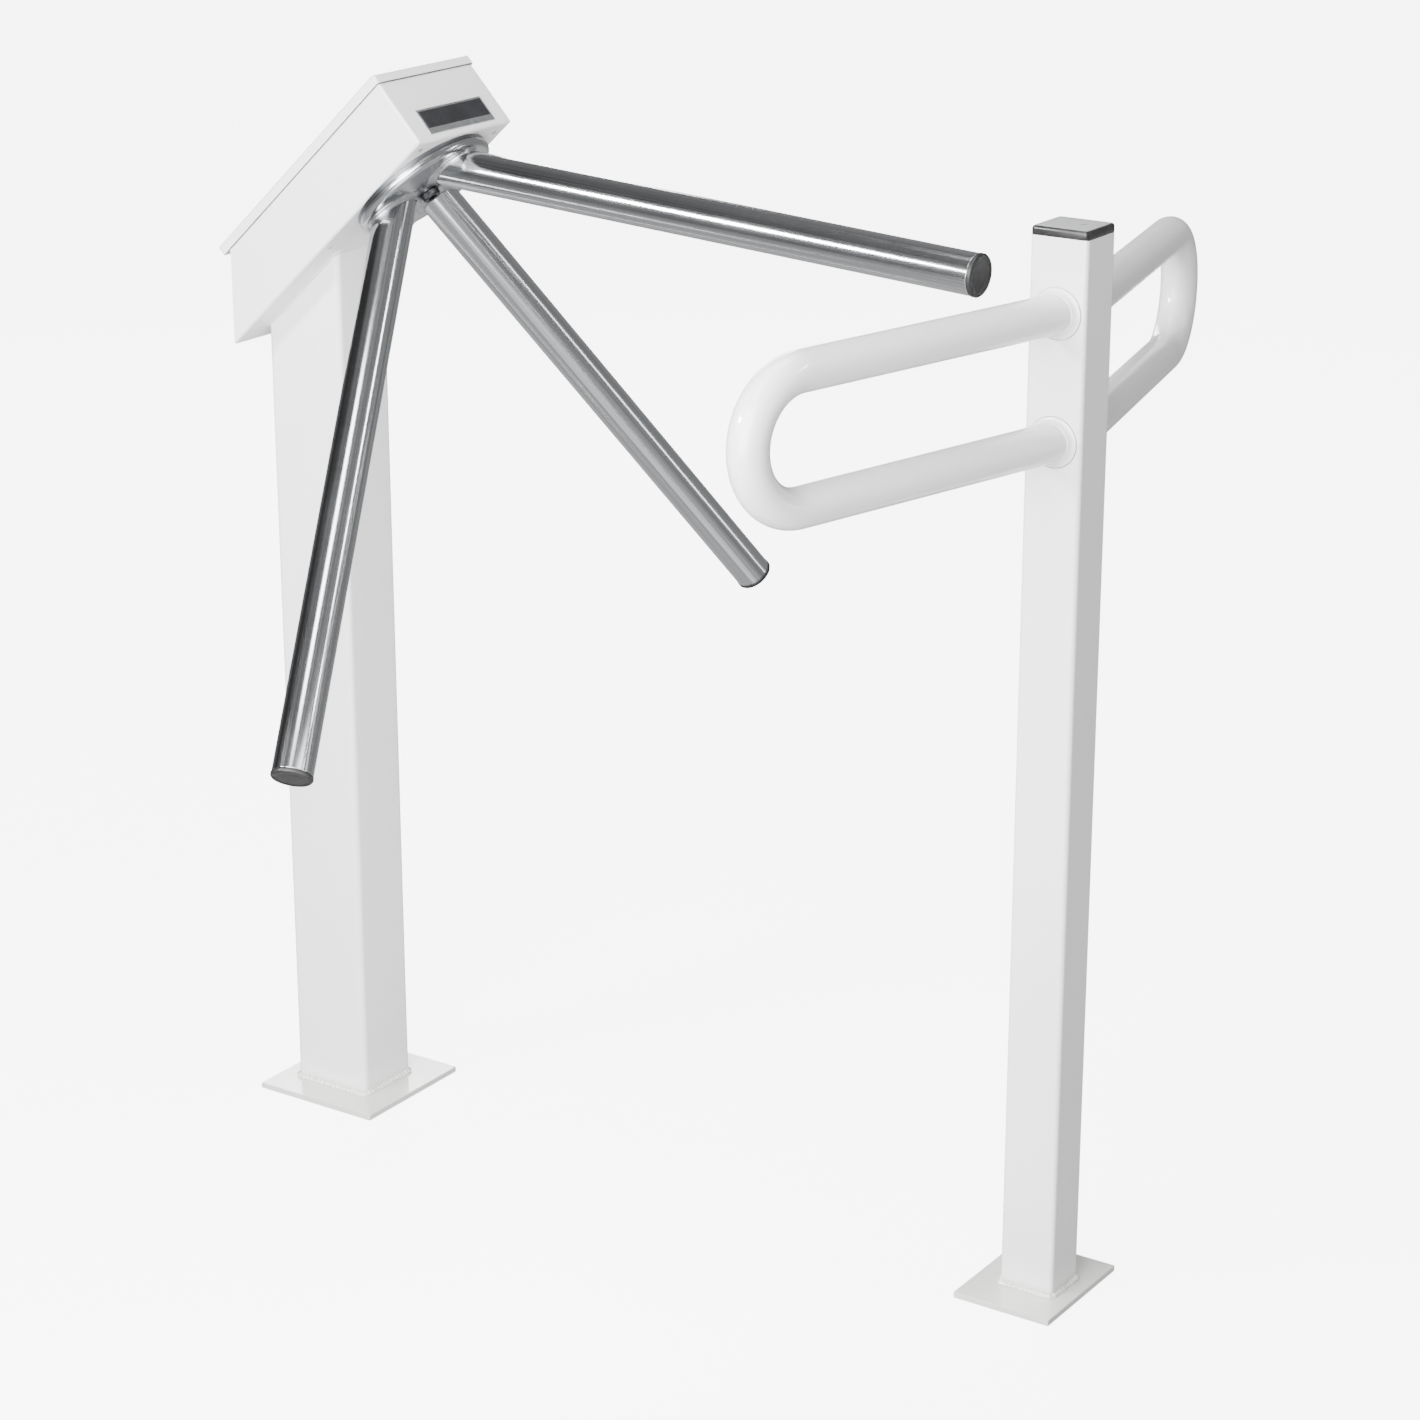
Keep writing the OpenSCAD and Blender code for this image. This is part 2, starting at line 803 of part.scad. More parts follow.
// Return springs, wound round the posts' collars under the pawls
module pawl_springs() {
    color(steel) for (side = [-1, 1]) at_pawl(side)
        ring(pawl_collar_r + pawl_spring_t, pawl_collar_r + seat_gap,
            wheel_low - side_gap - pawl_spring_h, wheel_low - side_gap);
}

// A pawl drawn locked in its notch, then swung out to where it rests
module pawl(side) {
    tooth_at = hub_u - pawl_u;
    tip_y = wheel_r - pawl_bite - pawl_y;
    tail = [pawl_tail * cos(-90 - pawl_swing / 2), pawl_tail * sin(-90 - pawl_swing / 2)];
    color(dark_steel) at_pawl(side) rotate([0, 0, pawl_swing]) translate([0, 0, wheel_low])
        linear_extrude(wheel_t) difference() {
            union() {
                circle(pawl_boss_r);
                translate([0, -pawl_arm_w / 2])
                    square([tooth_at + pawl_tooth_w / 2 + pawl_arm_over, pawl_arm_w]);
                polygon([
                    [tooth_at - pawl_tooth_w / 2, 0], [tooth_at - pawl_tip_w / 2, tip_y],
                    [tooth_at + pawl_tip_w / 2, tip_y], [tooth_at + pawl_tooth_w / 2, 0]
                ]);
                rotate(-90 - pawl_swing / 2) translate([0, -pawl_tail_w / 2])
                    square([pawl_tail, pawl_tail_w]);
                translate(tail) circle(pawl_tail_r);
            }
            circle(pawl_post_r + run_gap);
            translate(tail) circle(pawl_pin_r + side_gap);
        }
}

module entry_pawl() { pawl(1); }
module exit_pawl() { pawl(-1); }

// Frame of a solenoid: x along the plunger from the pawl's pin, z = 0 on the plunger's axis
module at_plunger(side) {
    pin_u = pawl_tail * sin(pawl_swing / 2);
    in_head() mirror([0, side < 0 ? 1 : 0, 0])
        translate([pawl_u + pin_u, plunger_y, plunger_axis]) children();
}

module plunger(side) {
    bridge_u = pawl_tail_r - fork_l;
    cheek = wheel_t / 2 + side_gap;
    color(bright_steel) at_plunger(side) {
        for (low = [-cheek - fork_t, cheek])
            translate([bridge_u, -fork_w / 2, low]) cube([fork_l, fork_w, fork_t]);
        translate([bridge_u, -fork_w / 2, -cheek - fork_t])
            cube([fork_bridge, fork_w, 2 * (cheek + fork_t)]);
        disc(pawl_pin_r, -cheek - fork_t, cheek + fork_t);
        translate([bridge_u - solenoid_gap - plunger_in, 0, 0]) rotate([0, 90, 0])
            cylinder(r = plunger_r, h = solenoid_gap + plunger_in + fork_bridge / 2);
    }
}

module entry_plunger() { plunger(1); }
module exit_plunger() { plunger(-1); }

// Open steel frame round a coil, with a bore for the plunger
module solenoid(side) {
    color(dark_steel) at_plunger(side) translate([pawl_tail_r - fork_l - solenoid_gap, 0, 0])
        difference() {
            union() {
                for (u = [-solenoid_l, -frame_plate_t])
                    translate([u, -solenoid_w / 2, -solenoid_w / 2])
                        cube([frame_plate_t, solenoid_w, solenoid_w]);
                translate([-solenoid_l, -solenoid_w / 2, -solenoid_w / 2])
                    cube([solenoid_l, solenoid_w, frame_plate_t / 2]);
                rotate([0, -90, 0]) disc(coil_r, overrun, solenoid_l - overrun);
            }
            rotate([0, -90, 0]) disc(plunger_r + run_gap, -overrun, solenoid_bore_l);
        }
}

module entry_solenoid() { solenoid(1); }
module exit_solenoid() { solenoid(-1); }

// Folded brackets that carry the solenoids above the mechanism plate
module solenoid_brackets() {
    bracket_h = plunger_axis - solenoid_w / 2 - mech_top;
    color(steel) for (side = [-1, 1]) at_plunger(side)
        translate([pawl_tail_r - fork_l - solenoid_gap - solenoid_l, -bracket_w / 2,
            mech_top - plunger_axis]) {
            cube([bracket_l, bracket_w, bracket_t]);
            cube([bracket_t, bracket_w, bracket_h]);
            translate([0, 0, bracket_h - bracket_t]) cube([bracket_l, bracket_w, bracket_t]);
        }
}

// Control board
module control_board() {
    color(board_green) in_head() difference() {
        translate([board_u0, -board_w / 2, board_low]) cube([board_l, board_w, board_t]);
        board_screw_places()
            disc(screw_r + screw_gap, board_low - overrun, board_low + board_t + overrun);
    }
}

module board_parts() {
    top = board_low + board_t;
    color(black_plastic) in_head() translate([board_u0 + board_l / 2, 0, top]) {
        translate([-chip_l / 2, -chip_w / 2, 0]) cube([chip_l, chip_w, chip_t]);
        for (side = [-1, 1])
            translate([-relay_l / 2, side * (chip_w + relay_w) - relay_w / 2, 0])
                cube([relay_l, relay_w, relay_h]);
        translate([-board_l / 2, -terminal_w / 2, 0]) difference() {
            cube([terminal_l, terminal_w, terminal_h]);
            for (i = [0 : terminal_ways - 1])
                translate([0, (i + 0.5) * terminal_w / terminal_ways, terminal_h / 2])
                    rotate([0, 90, 0]) disc(wire_hole_r, -overrun, wire_hole_d);
        }
    }
}

module board_standoffs() {
    color(brass) in_head() board_screw_places() {
        disc(standoff_r, sheet_t, board_low);
        disc(screw_r, board_low - overrun, board_low + board_t);
        disc(standoff_r, board_low + board_t, board_low + 2 * board_t);
    }
}

// Guide post
module guide_base_plate() {
    color(white_paint)
        translate([guide_x - guide_plate_off - guide_plate_w / 2, -guide_plate_d / 2, 0])
        cube([guide_plate_w, guide_plate_d, plate_t]);
}

module guide_post() {
    color(white_paint) translate([guide_x, 0, 0])
        tube(guide_w, guide_d, guide_r, guide_wall, plate_t, guide_h);
}

// Cap with a sloped edge, and a plug inside the tube
module guide_cap() {
    color(black_plastic) translate([guide_x, 0, guide_h]) {
        linear_extrude(guide_cap_t - cap_edge) rounded_rect(guide_w, guide_d, guide_r);
        hull() {
            translate([0, 0, guide_cap_t - cap_edge]) linear_extrude(cap_edge / 2)
                rounded_rect(guide_w, guide_d, guide_r, $fn = 32);
            translate([0, 0, guide_cap_t - cap_edge / 2]) linear_extrude(cap_edge / 2)
                rounded_rect(guide_w - cap_edge, guide_d - cap_edge, guide_r, $fn = 32);
        }
        translate([0, 0, -cap_plug_t]) linear_extrude(cap_plug_t)
            rounded_rect(guide_w - 2 * (guide_wall + cap_gap), guide_d - 2 * (guide_wall + cap_gap),
                guide_r - guide_wall);
    }
}

// A hoop's tube of this radius: two bars joined by a half-circle bend
module hoop_path(r) {
    low = hoop_top - hoop_pitch;
    for (z = [low, hoop_top])
        translate([0, -hoop_straight, z]) rotate([-90, 0, 0])
            cylinder(r = r, h = hoop_straight + guide_d / 2);
    translate([0, -hoop_straight, hoop_top - hoop_bend_r]) rotate([0, -90, 0]) rotate([180, 0, 0])
        rotate_extrude(angle = 180) translate([hoop_bend_r, 0]) circle(r);
}

// The hoop on the -Y face; its ends are cut to lie on the post
module near_hoop() {
    color(white_paint) difference() {
        translate([guide_x, -guide_d / 2, 0]) rotate([0, 0, -hoop_lean]) difference() {
            hoop_path(hoop_r);
            hoop_path(hoop_r - hoop_wall);
        }
        translate([-reach / 2, -guide_d / 2, -reach / 2]) cube([2 * reach, reach, 2 * reach]);
    }
}

module far_hoop() {
    mirror([0, 1, 0]) near_hoop();
}

pedestal_base_plate();
pedestal_post();
head_casing();
head_lid();
lid_blocks();
lid_screws();
name_plate();
cover_ring();
mechanism_plate();
mechanism_screws();
bearing_housing();
housing_screws();
bearing_outer_rings();
bearing_inner_rings();
bearing_balls();
bearing_spacer();
bearing_circlip();
rotor_shaft();
drive_key();
drive_gear();
wheel_spacer();
lock_wheel();
shaft_washer();
shaft_nut();
hub_disc();
hub_dowels();
hub_washer();
hub_bolt();
arm_1();
arm_2();
arm_3();
arm_cap_1();
arm_cap_2();
arm_cap_3();
damper_body();
damper_pinion();
pawl_posts();
pawl_clips();
pawl_springs();
entry_pawl();
exit_pawl();
solenoid_brackets();
entry_solenoid();
exit_solenoid();
entry_plunger();
exit_plunger();
control_board();
board_parts();
board_standoffs();
guide_base_plate();
guide_post();
guide_cap();
near_hoop();
far_hoop();
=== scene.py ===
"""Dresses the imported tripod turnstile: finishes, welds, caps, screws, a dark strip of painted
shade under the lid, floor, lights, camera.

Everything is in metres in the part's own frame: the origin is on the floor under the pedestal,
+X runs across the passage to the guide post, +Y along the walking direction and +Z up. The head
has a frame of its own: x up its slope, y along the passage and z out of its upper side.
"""

from __future__ import annotations

import json
import logging
import math
from dataclasses import dataclass, replace
from enum import Enum
from typing import ClassVar, Sequence

import bmesh
import bpy
from mathutils import Matrix, Quaternion, Vector, noise

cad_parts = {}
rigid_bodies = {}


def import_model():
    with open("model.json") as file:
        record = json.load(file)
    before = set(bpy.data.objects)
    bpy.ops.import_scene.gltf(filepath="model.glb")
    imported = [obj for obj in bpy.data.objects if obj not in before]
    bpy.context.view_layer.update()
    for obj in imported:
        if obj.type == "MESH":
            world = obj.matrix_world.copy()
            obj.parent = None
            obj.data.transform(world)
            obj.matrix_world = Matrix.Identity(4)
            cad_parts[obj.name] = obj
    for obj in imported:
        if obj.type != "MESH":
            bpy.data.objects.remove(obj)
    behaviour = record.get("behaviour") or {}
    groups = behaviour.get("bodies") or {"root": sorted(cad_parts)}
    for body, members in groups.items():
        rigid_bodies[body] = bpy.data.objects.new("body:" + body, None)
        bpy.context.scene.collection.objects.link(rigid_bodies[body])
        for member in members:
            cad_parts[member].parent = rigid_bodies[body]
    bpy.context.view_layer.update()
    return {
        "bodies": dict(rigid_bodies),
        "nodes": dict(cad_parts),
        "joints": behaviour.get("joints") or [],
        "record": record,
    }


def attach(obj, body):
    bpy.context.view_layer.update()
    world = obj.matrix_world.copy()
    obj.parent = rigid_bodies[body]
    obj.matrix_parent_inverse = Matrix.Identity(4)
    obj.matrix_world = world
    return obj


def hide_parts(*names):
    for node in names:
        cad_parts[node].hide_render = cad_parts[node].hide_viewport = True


LOG = logging.getLogger("turnstile")
MM = 0.001
UP = Vector((0.0, 0.0, 1.0))
RIGHT_ANGLE = math.pi / 2
# Points of a loaded mesh that are closer than this are one
SAME_POINT = 0.001 * MM
# Steps in which a rounded corner, or a bead's section, makes its quarter of a turn
ARC_STEPS = 6

Tree = bpy.types.NodeTree
Socket = bpy.types.NodeSocket
Surface = dict[str, object]
Span = tuple[float, float]
Place = tuple[float, float, float]
Skin = tuple[list[Vector], list[list[int]]]

# Values between which most of a cloudy pattern lies, and those of its middle part
USUAL: Span = (0.3, 0.7)
NARROW: Span = (0.35, 0.65)


class Body(str, Enum):
    """Bodies of the part that pieces ride on."""

    FRAME = "frame"
    ROTOR = "rotor"


class Slot(str, Enum):
    """Material slots of the record, one named with each new piece; nothing reads them."""

    WHITE = "white_paint"
    STAINLESS = "stainless"
    DARK = "dark_steel"
    PLASTIC = "black_plastic"
    FASTENER = "fastener_steel"


class Look(Enum):
    """Finishes that the part's nodes and pieces wear."""

    POWDER_COAT = "powder_coat"
    TUBE_1 = "tube_1"
    TUBE_2 = "tube_2"
    TUBE_3 = "tube_3"
    TURNED_HUB = "turned_hub"
    # Fixed ring behind the hub disc: satin stainless, darkened as painted shade
    SATIN_COVER = "satin_cover"
    WELD = "weld"
    MACHINED = "machined"
    ROLLED = "rolled"
    GROUND = "ground"
    ZINC = "zinc"
    BRASS = "brass"
    BLACK_OXIDE = "black_oxide"
    PLATE_ENAMEL = "plate_enamel"
    PLATE_ALUMINIUM = "plate_aluminium"
    DAMPER_ENAMEL = "damper_enamel"
    PLASTIC = "plastic"
    GUIDE_CAP = "guide_cap"
    # Dark strip under the lid's skirt, drawn as rubber: painted shade of the seam gap
    RUBBER = "rubber"
    LAMINATE = "laminate"


class Outline(Enum):
    """How a ring of a turned piece runs round its axis."""

    ROUND = "round"
    HEX = "hex"
    KNURL = "knurl"


class Side(Enum):
    """Side of the part along +Y: that of the camera, or the far one."""

    NEAR = -1
    FAR = 1


Dressing = dict[Look, tuple[str, ...]]


# Nodes and finishes


def linear(code: str) -> tuple[float, float, float, float]:
    """Turns an sRGB hex colour into a linear one.

    Args:
        code: Six hex digits.

    Returns:
        Red, green, blue and alpha, as Blender's sockets take them.
    """
    values = [int(code[i : i + 2], 16) / 255 for i in (0, 2, 4)]
    flat = [v / 12.92 if v <= 0.04045 else ((v + 0.055) / 1.055) ** 2.4 for v in values]
    return (flat[0], flat[1], flat[2], 1.0)


def per_metre(size_mm: float) -> float:
    """Pattern scale whose marks are about this many millimetres apart."""
    return 1 / (size_mm * MM)


def between(values: Span, results: Span = (0.0, 1.0)) -> dict[str, float]:
    """Settings, by name, that turn the range of values that come in into that of the results."""
    return dict(zip(("From_Min", "From_Max", "To_Min", "To_Max"), (*values, *results)))


def add_node(tree: Tree, kind: str, **settings: object) -> Socket | None:
    """Adds a shader node with its settings and links.

    Args:
        tree: The tree that the node goes into.
        kind: The node's type, without the words that all of them start with.
        **settings: Its properties by name; its inputs by name with _ for a space, or by place as
            in_0, in_1 and so on. A socket is linked, and a hex string sets a colour.

    Returns:
        The node's first output in use, or None where it has none.
    """
    node = tree.nodes.new("ShaderNode" + kind)
    inputs = {}
    for name, value in settings.items():
        if hasattr(node, name):
            setattr(node, name, value)
        else:
            inputs[name] = value
    for name, value in inputs.items():
        if name.startswith("in_"):
            socket = node.inputs[int(name[3:])]
        else:
            label = name.replace("_", " ")
            socket = next(s for s in node.inputs if s.enabled and s.name == label)
        if isinstance(value, Socket):
            tree.links.new(value, socket)
        else:
            socket.default_value = linear(value) if isinstance(value, str) else value
    return next((s for s in node.outputs if s.enabled), None)


@dataclass(frozen=True)
class Marks:
    """Irregular marks of a surface, sized in millimetres along x, y and z.

    Attributes:
        detail: Levels of finer marks in them.
        harsh: Strength of the finer marks.
        rings: Whether they run as rings round z.
    """

    mm: Place
    detail: float = 2.0
    harsh: float = 0.5
    rings: bool = False


@dataclass(frozen=True)
class Finish:
    """What every finish shares: a tone, a gloss and a height that follow its marks.

    Attributes:
        name: The material's name.
        dark, light: Its tones in hex.
        rough: Least and greatest roughness.
        turn: Frame that its marks follow, or None for the part's own.
        ior: Index of refraction of what isn't metal; a metal keeps the default.
        coat, coat_rough: Weight and roughness of the clear gloss on it.
        tone, gloss: Marks that vary its tone and its roughness.
        height: Marks that stand out, or None where those of tone and gloss do.
        haze, haze_rough: Wide marks that add roughness, and how much they add.
        specks, speck_span, speck_share: Marks that bring the third tone in specks, the values
            between
        which they do, and its share there.
        depth, relief: Height of the marks in metres, and the share of it that shows.
        tone_span, gloss_span: Values of the marks between which tone and roughness change.
        dust_and_painted_light: A third tone in hex, if any, for dust specks, a darker foot, painted
            shade and a painted reflection.
        height_bands: Pairs of heights, each with the third tone's shares at them.
    """

    name: str
    dark: str
    light: str
    rough: Span
    turn: Matrix | None = None
    ior: float = 1.5
    metallic: float = 0.0
    coat: float = 0.0
    coat_rough: float = 0.03
    tone: Marks = Marks((20.0,) * 3)
    gloss: Marks = Marks((5.0,) * 3)
    height: Marks | None = None
    haze: Marks | None = None
    haze_rough: Span = (0.0, 0.0)
    specks: Marks | None = None
    speck_span: Span = (0.52, 0.8)
    speck_share: Span = (0.0, 0.04)
    depth: float = 0.03 * MM
    relief: float = 0.5
    tone_span: Span = USUAL
    gloss_span: Span = USUAL
    dust_and_painted_light: str = ""
    height_bands: tuple[tuple[Span, Span], ...] = ()

    def make(self) -> bpy.types.Material:
        """Makes the material.

        Returns:
            The material.
        """
        material = bpy.data.materials.new(self.name)
        material.use_nodes = True
        tree = material.node_tree
        tree.nodes.clear()
        at = add_node(tree, "TexCoord").node.outputs["Object"]
        if self.turn is not None:
            back = self.turn.inverted()
            place, angles = back.to_translation(), back.to_euler("XYZ")
            at = add_node(tree, "Mapping", Vector=at, Location=place, Rotation=angles)
        shader = add_node(tree, "BsdfPrincipled", **self.surface(tree, at))
        add_node(tree, "OutputMaterial", Surface=shader)
        return material

    def patterns(self, tree: Tree, at: Socket) -> list[Socket | None]:
        """Lays the marks, each of them once.

        Args:
            tree: The material's tree.
            at: Coordinates on the surface.

        Returns:
            What drives tone, gloss, height, haze and specks; None for what has no marks.
        """
        laid: dict[Marks | None, Socket | None] = {None: None}
        wanted = (self.tone, self.gloss, self.height, self.haze, self.specks)
        for marks in wanted:
            if marks in laid:
                continue
            way = at
            if marks.rings:
                level = (1.0, 1.0, 0.0)
                flat = add_node(tree, "VectorMath", operation="MULTIPLY", in_0=at, in_1=level)
                radius = add_node(tree, "VectorMath", operation="LENGTH", in_0=flat)
                way = add_node(tree, "CombineXYZ", X=radius.node.outputs["Value"])
            scale = [per_metre(size) for size in marks.mm]
            way = add_node(tree, "Mapping", Vector=way, Scale=scale)
            laid[marks] = add_node(
                tree, "TexNoise", Vector=way, Scale=1.0, Detail=marks.detail, Roughness=marks.harsh
            )
        return [laid[marks] for marks in wanted]

    def surface(self, tree: Tree, at: Socket) -> Surface:
        """Makes what feeds the surface shader.

        Args:
            tree: The material's tree.
            at: Coordinates on the surface.

        Returns:
            The shader's inputs by name.
        """
        tone, gloss, height, haze, specks = self.patterns(tree, at)
        share = add_node(tree, "MapRange", Value=tone, **between(self.tone_span))
        colour = add_node(tree, "Mix", data_type="RGBA", Factor=share, A=self.dark, B=self.light)
        # A third tone by height and in specks: dust, the darker foot of the white paint, painted
        # shade on the floor plates and a painted reflection on the guide cap's top
        if self.dust_and_painted_light:
            level = add_node(tree, "SeparateXYZ", Vector=at).node.outputs["Z"]
            ranges = [(level, *band) for band in self.height_bands]
            if specks is not None:
                ranges.append((specks, self.speck_span, self.speck_share))
            dust_and_light_share: Socket | float = 0.0
            for value, *ends in ranges:
                part = add_node(tree, "MapRange", Value=value, **between(*ends))
                dust_and_light_share = add_node(tree, "Math", operation="ADD", in_0=dust_and_light_share, in_1=part)
            colour = add_node(tree, "Mix", data_type="RGBA", Factor=dust_and_light_share, A=colour, B=self.dust_and_painted_light)
        rough = add_node(tree, "MapRange", Value=gloss, **between(self.gloss_span, self.rough))
        if haze is not None:
            more = add_node(tree, "MapRange", Value=haze, **between(USUAL, self.haze_rough))
            rough = add_node(tree, "Math", operation="ADD", in_0=rough, in_1=more)
        if height is None:
            height = add_node(tree, "Math", operation="ADD", in_0=tone, in_1=gloss)
        relief = add_node(tree, "Bump", Height=height, Distance=self.depth, Strength=self.relief)
        made: Surface = {
            "Base_Color": colour,
            "Roughness": rough,
            "Normal": relief,
            "Metallic": self.metallic,
            "Coat_Weight": self.coat,
            "Coat_Roughness": self.coat_rough,
        }
        return made if self.metallic else made | {"IOR": self.ior}


@dataclass(frozen=True)
class PowderCoat(Finish):
    """Polyester powder coat, sprayed on and baked: an even gloss with soft orange peel.

    The eye sees nearly even white with crisp small highlights, faint clouds and a little dust.
    The floor plates are greyed as painted shade, and the white darkens a little towards the floor
    above them. Real orange peel is finer, so it is drawn wider.
    """

    coat: float = 0.8
    coat_rough: float = 0.07
    tone: Marks = Marks((250.0,) * 3, 4.0)
    gloss: Marks = Marks((28.0,) * 3, 4.0)
    height: Marks | None = Marks((1.2,) * 3)
    specks: Marks | None = Marks((17.0,) * 3, 6.0, 0.65)
    # Grey of the dust specks, of the darker foot and of the painted shade on the floor plates
    dust_and_painted_light: str = "C9C8C4"
    # The first band darkens the white a little towards the floor; the second greys the floor plates
    # and the posts' feet just above them as painted shade
    height_bands: tuple[tuple[Span, Span], ...] = (
        ((0.004, 0.09), (0.175, 0.0)), ((0.007, 0.016), (0.65, 0.0)),
    )


@dataclass(frozen=True)
class PolishedTube(Finish):
    """Stainless steel tube, drawn and then polished along its length.

    The eye sees long bright lines with soft edges, and fine streaks beside them. The real grit
    marks are too fine to show, so the streaks are drawn coarser.

    Attributes:
        ring_share: Share of the faint rings round the tube in its grain.
    """

    metallic: float = 1.0
    tone: Marks = Marks((1.1, 1.1, 420.0), 4.0, 0.6)
    gloss: Marks = Marks((25.0, 25.0, 1.4), 3.0, 0.6)
    height: Marks | None = tone
    haze: Marks | None = Marks((110.0,) * 3, 3.0)
    haze_rough: Span = (-0.02, 0.03)
    depth: float = 0.002 * MM
    tone_span: Span = NARROW
    gloss_span: Span = NARROW
    ring_share: float = 0.12

    def patterns(self, tree: Tree, at: Socket) -> list[Socket | None]:
        """Mixes streaks and rings into one grain.

        Args:
            tree: The material's tree.
            at: Coordinates on the surface.

        Returns:
            What drives tone, gloss, height, haze and specks.
        """
        streaks, rings, _, *rest = super().patterns(tree, at)
        grain = add_node(tree, "Mix", Factor=self.ring_share, A=streaks, B=rings)
        return [grain, grain, grain, *rest]


@dataclass(frozen=True)
class TurnedSteel(Finish):
    """Steel faced on a lathe: fine rings round its axis that fan the highlights out.

    Real tool rings are finer, so they are drawn wide enough to show.
    """

    metallic: float = 1.0
    tone: Marks = Marks((1.1,) * 3, 4.0, 0.65, rings=True)
    gloss: Marks = tone
    height: Marks | None = tone
    haze: Marks | None = Marks((33.0,) * 3, 4.0)
    haze_rough: Span = (-0.02, 0.05)
    depth: float = 0.008 * MM
    tone_span: Span = NARROW


@dataclass(frozen=True)
class WorkedMetal(Finish):
    """Rolled, ground, plated or cut metal: clouded tone and fine scratches one way.

    Real scratches are finer, so they are drawn wide enough to show.
    """

    metallic: float = 1.0
    tone: Marks = Marks((4.5,) * 3, 5.0, 0.6)
    gloss: Marks = Marks((25.0, 0.7, 25.0), 3.0, 0.6)
    relief: float = 0.4


@dataclass(frozen=True)
class DressedWeld(Finish):
    """Stainless weld, ground back and brushed: bright and soft, a little uneven in tone.

    Its brush marks are finer in truth and drawn wide enough to show.
    """

    metallic: float = 1.0
    tone: Marks = Marks((8.0,) * 3, 4.0, 0.6)
    gloss: Marks = Marks((1.1,) * 3, 3.0)
    depth: float = 0.02 * MM


@dataclass(frozen=True)
class ThinCoat(Finish):
    """Black oxide or enamel over metal: dark, slightly uneven, with a thin gloss.

    Its real grain is finer, so it is drawn coarse enough to show.
    """

    coat: float = 0.2
    tone: Marks = Marks((22.0,) * 3, 3.0)
    gloss: Marks = Marks((2.5,) * 3, 4.0, 0.6)
    height: Marks | None = gloss
    depth: float = 0.04 * MM
    relief: float = 0.4


@dataclass(frozen=True)
class MouldedPlastic(Finish):
    """Moulded polyethylene or rubber: a fine grain and spots smoothed by wear.

    The mould's real grain is finer, so it is drawn coarse enough to show.
    """

    tone: Marks = Marks((14.0,) * 3, 5.0, 0.6)
    gloss: Marks = tone
    height: Marks | None = Marks((0.7,) * 3)
    depth: float = 0.05 * MM


@dataclass(frozen=True)
class Laminate(Finish):
    """Glass and epoxy circuit board: pale tracks under green lacquer, drawn wide enough to show.

    Attributes:
        track_mm: Length of two bricks of the tracks' pattern.
        track_gap: Width of the tracks as a share of it.
    """

    coat: float = 0.5
    tone: Marks = Marks((5.0,) * 3)
    gloss: Marks = tone
    height: Marks | None = tone
    depth: float = 0.05 * MM
    tone_span: Span = (0.0, 1.0)
    track_mm: float = 11.0
    track_gap: float = 0.06

    def patterns(self, tree: Tree, at: Socket) -> list[Socket | None]:
        """Draws the tracks.

        Args:
            tree: The material's tree.
            at: Coordinates on the surface.

        Returns:
            What drives tone, gloss, height, haze and specks.
        """
        scale = per_metre(self.track_mm)
        bricks = add_node(tree, "TexBrick", Vector=at, Scale=scale, Mortar_Size=self.track_gap)
        tracks = bricks.node.outputs["Fac"]
        _, gloss, _, *rest = super().patterns(tree, at)
        return [tracks, gloss, tracks, *rest]


@dataclass(frozen=True)
class StudioSweep(Finish):
    """Matt paper sweep, lit from behind so that it glows evenly.

    Attributes:
        glow: Strength of that light.
    """

    glow: float = 6.6

    def surface(self, tree: Tree, at: Socket) -> Surface:
        """Makes an even glow, without marks.

        Args:
            tree: The material's tree; not used.
            at: Coordinates on the surface; not used.

        Returns:
            The shader's inputs by name.
        """
        return {
            "Base_Color": self.dark,
            "Roughness": self.rough[1],
            "Emission_Color": self.light,
            "Emission_Strength": self.glow,
        }


# Meshes


@dataclass(frozen=True)
class Ring:
    """One ring of a turned piece, at a height along its axis."""

    radius: float
    height: float
    outline: Outline = Outline.ROUND
    # Teeth of a knurl, and their height as a share of the radius
    TEETH: ClassVar[int] = 36
    TOOTH: ClassVar[float] = 0.018

    def at(self, angle: float) -> float:
        """Works out the radius at an angle.

        Args:
            angle: Angle round the axis in radians.

        Returns:
            The radius in metres.
        """
        if self.outline is Outline.HEX:
            step = math.pi / 3
            return self.radius * math.cos(step / 2) / math.cos((angle % step) - step / 2)
        if self.outline is Outline.KNURL:
            return self.radius * (1 + self.TOOTH * math.cos(self.TEETH * angle))
        return self.radius


@dataclass(frozen=True)
class SeamPoint:
    """A point of a corner that a weld fills, with the ways up one face and out along the other."""

    place: Vector
    up: Vector
    out: Vector


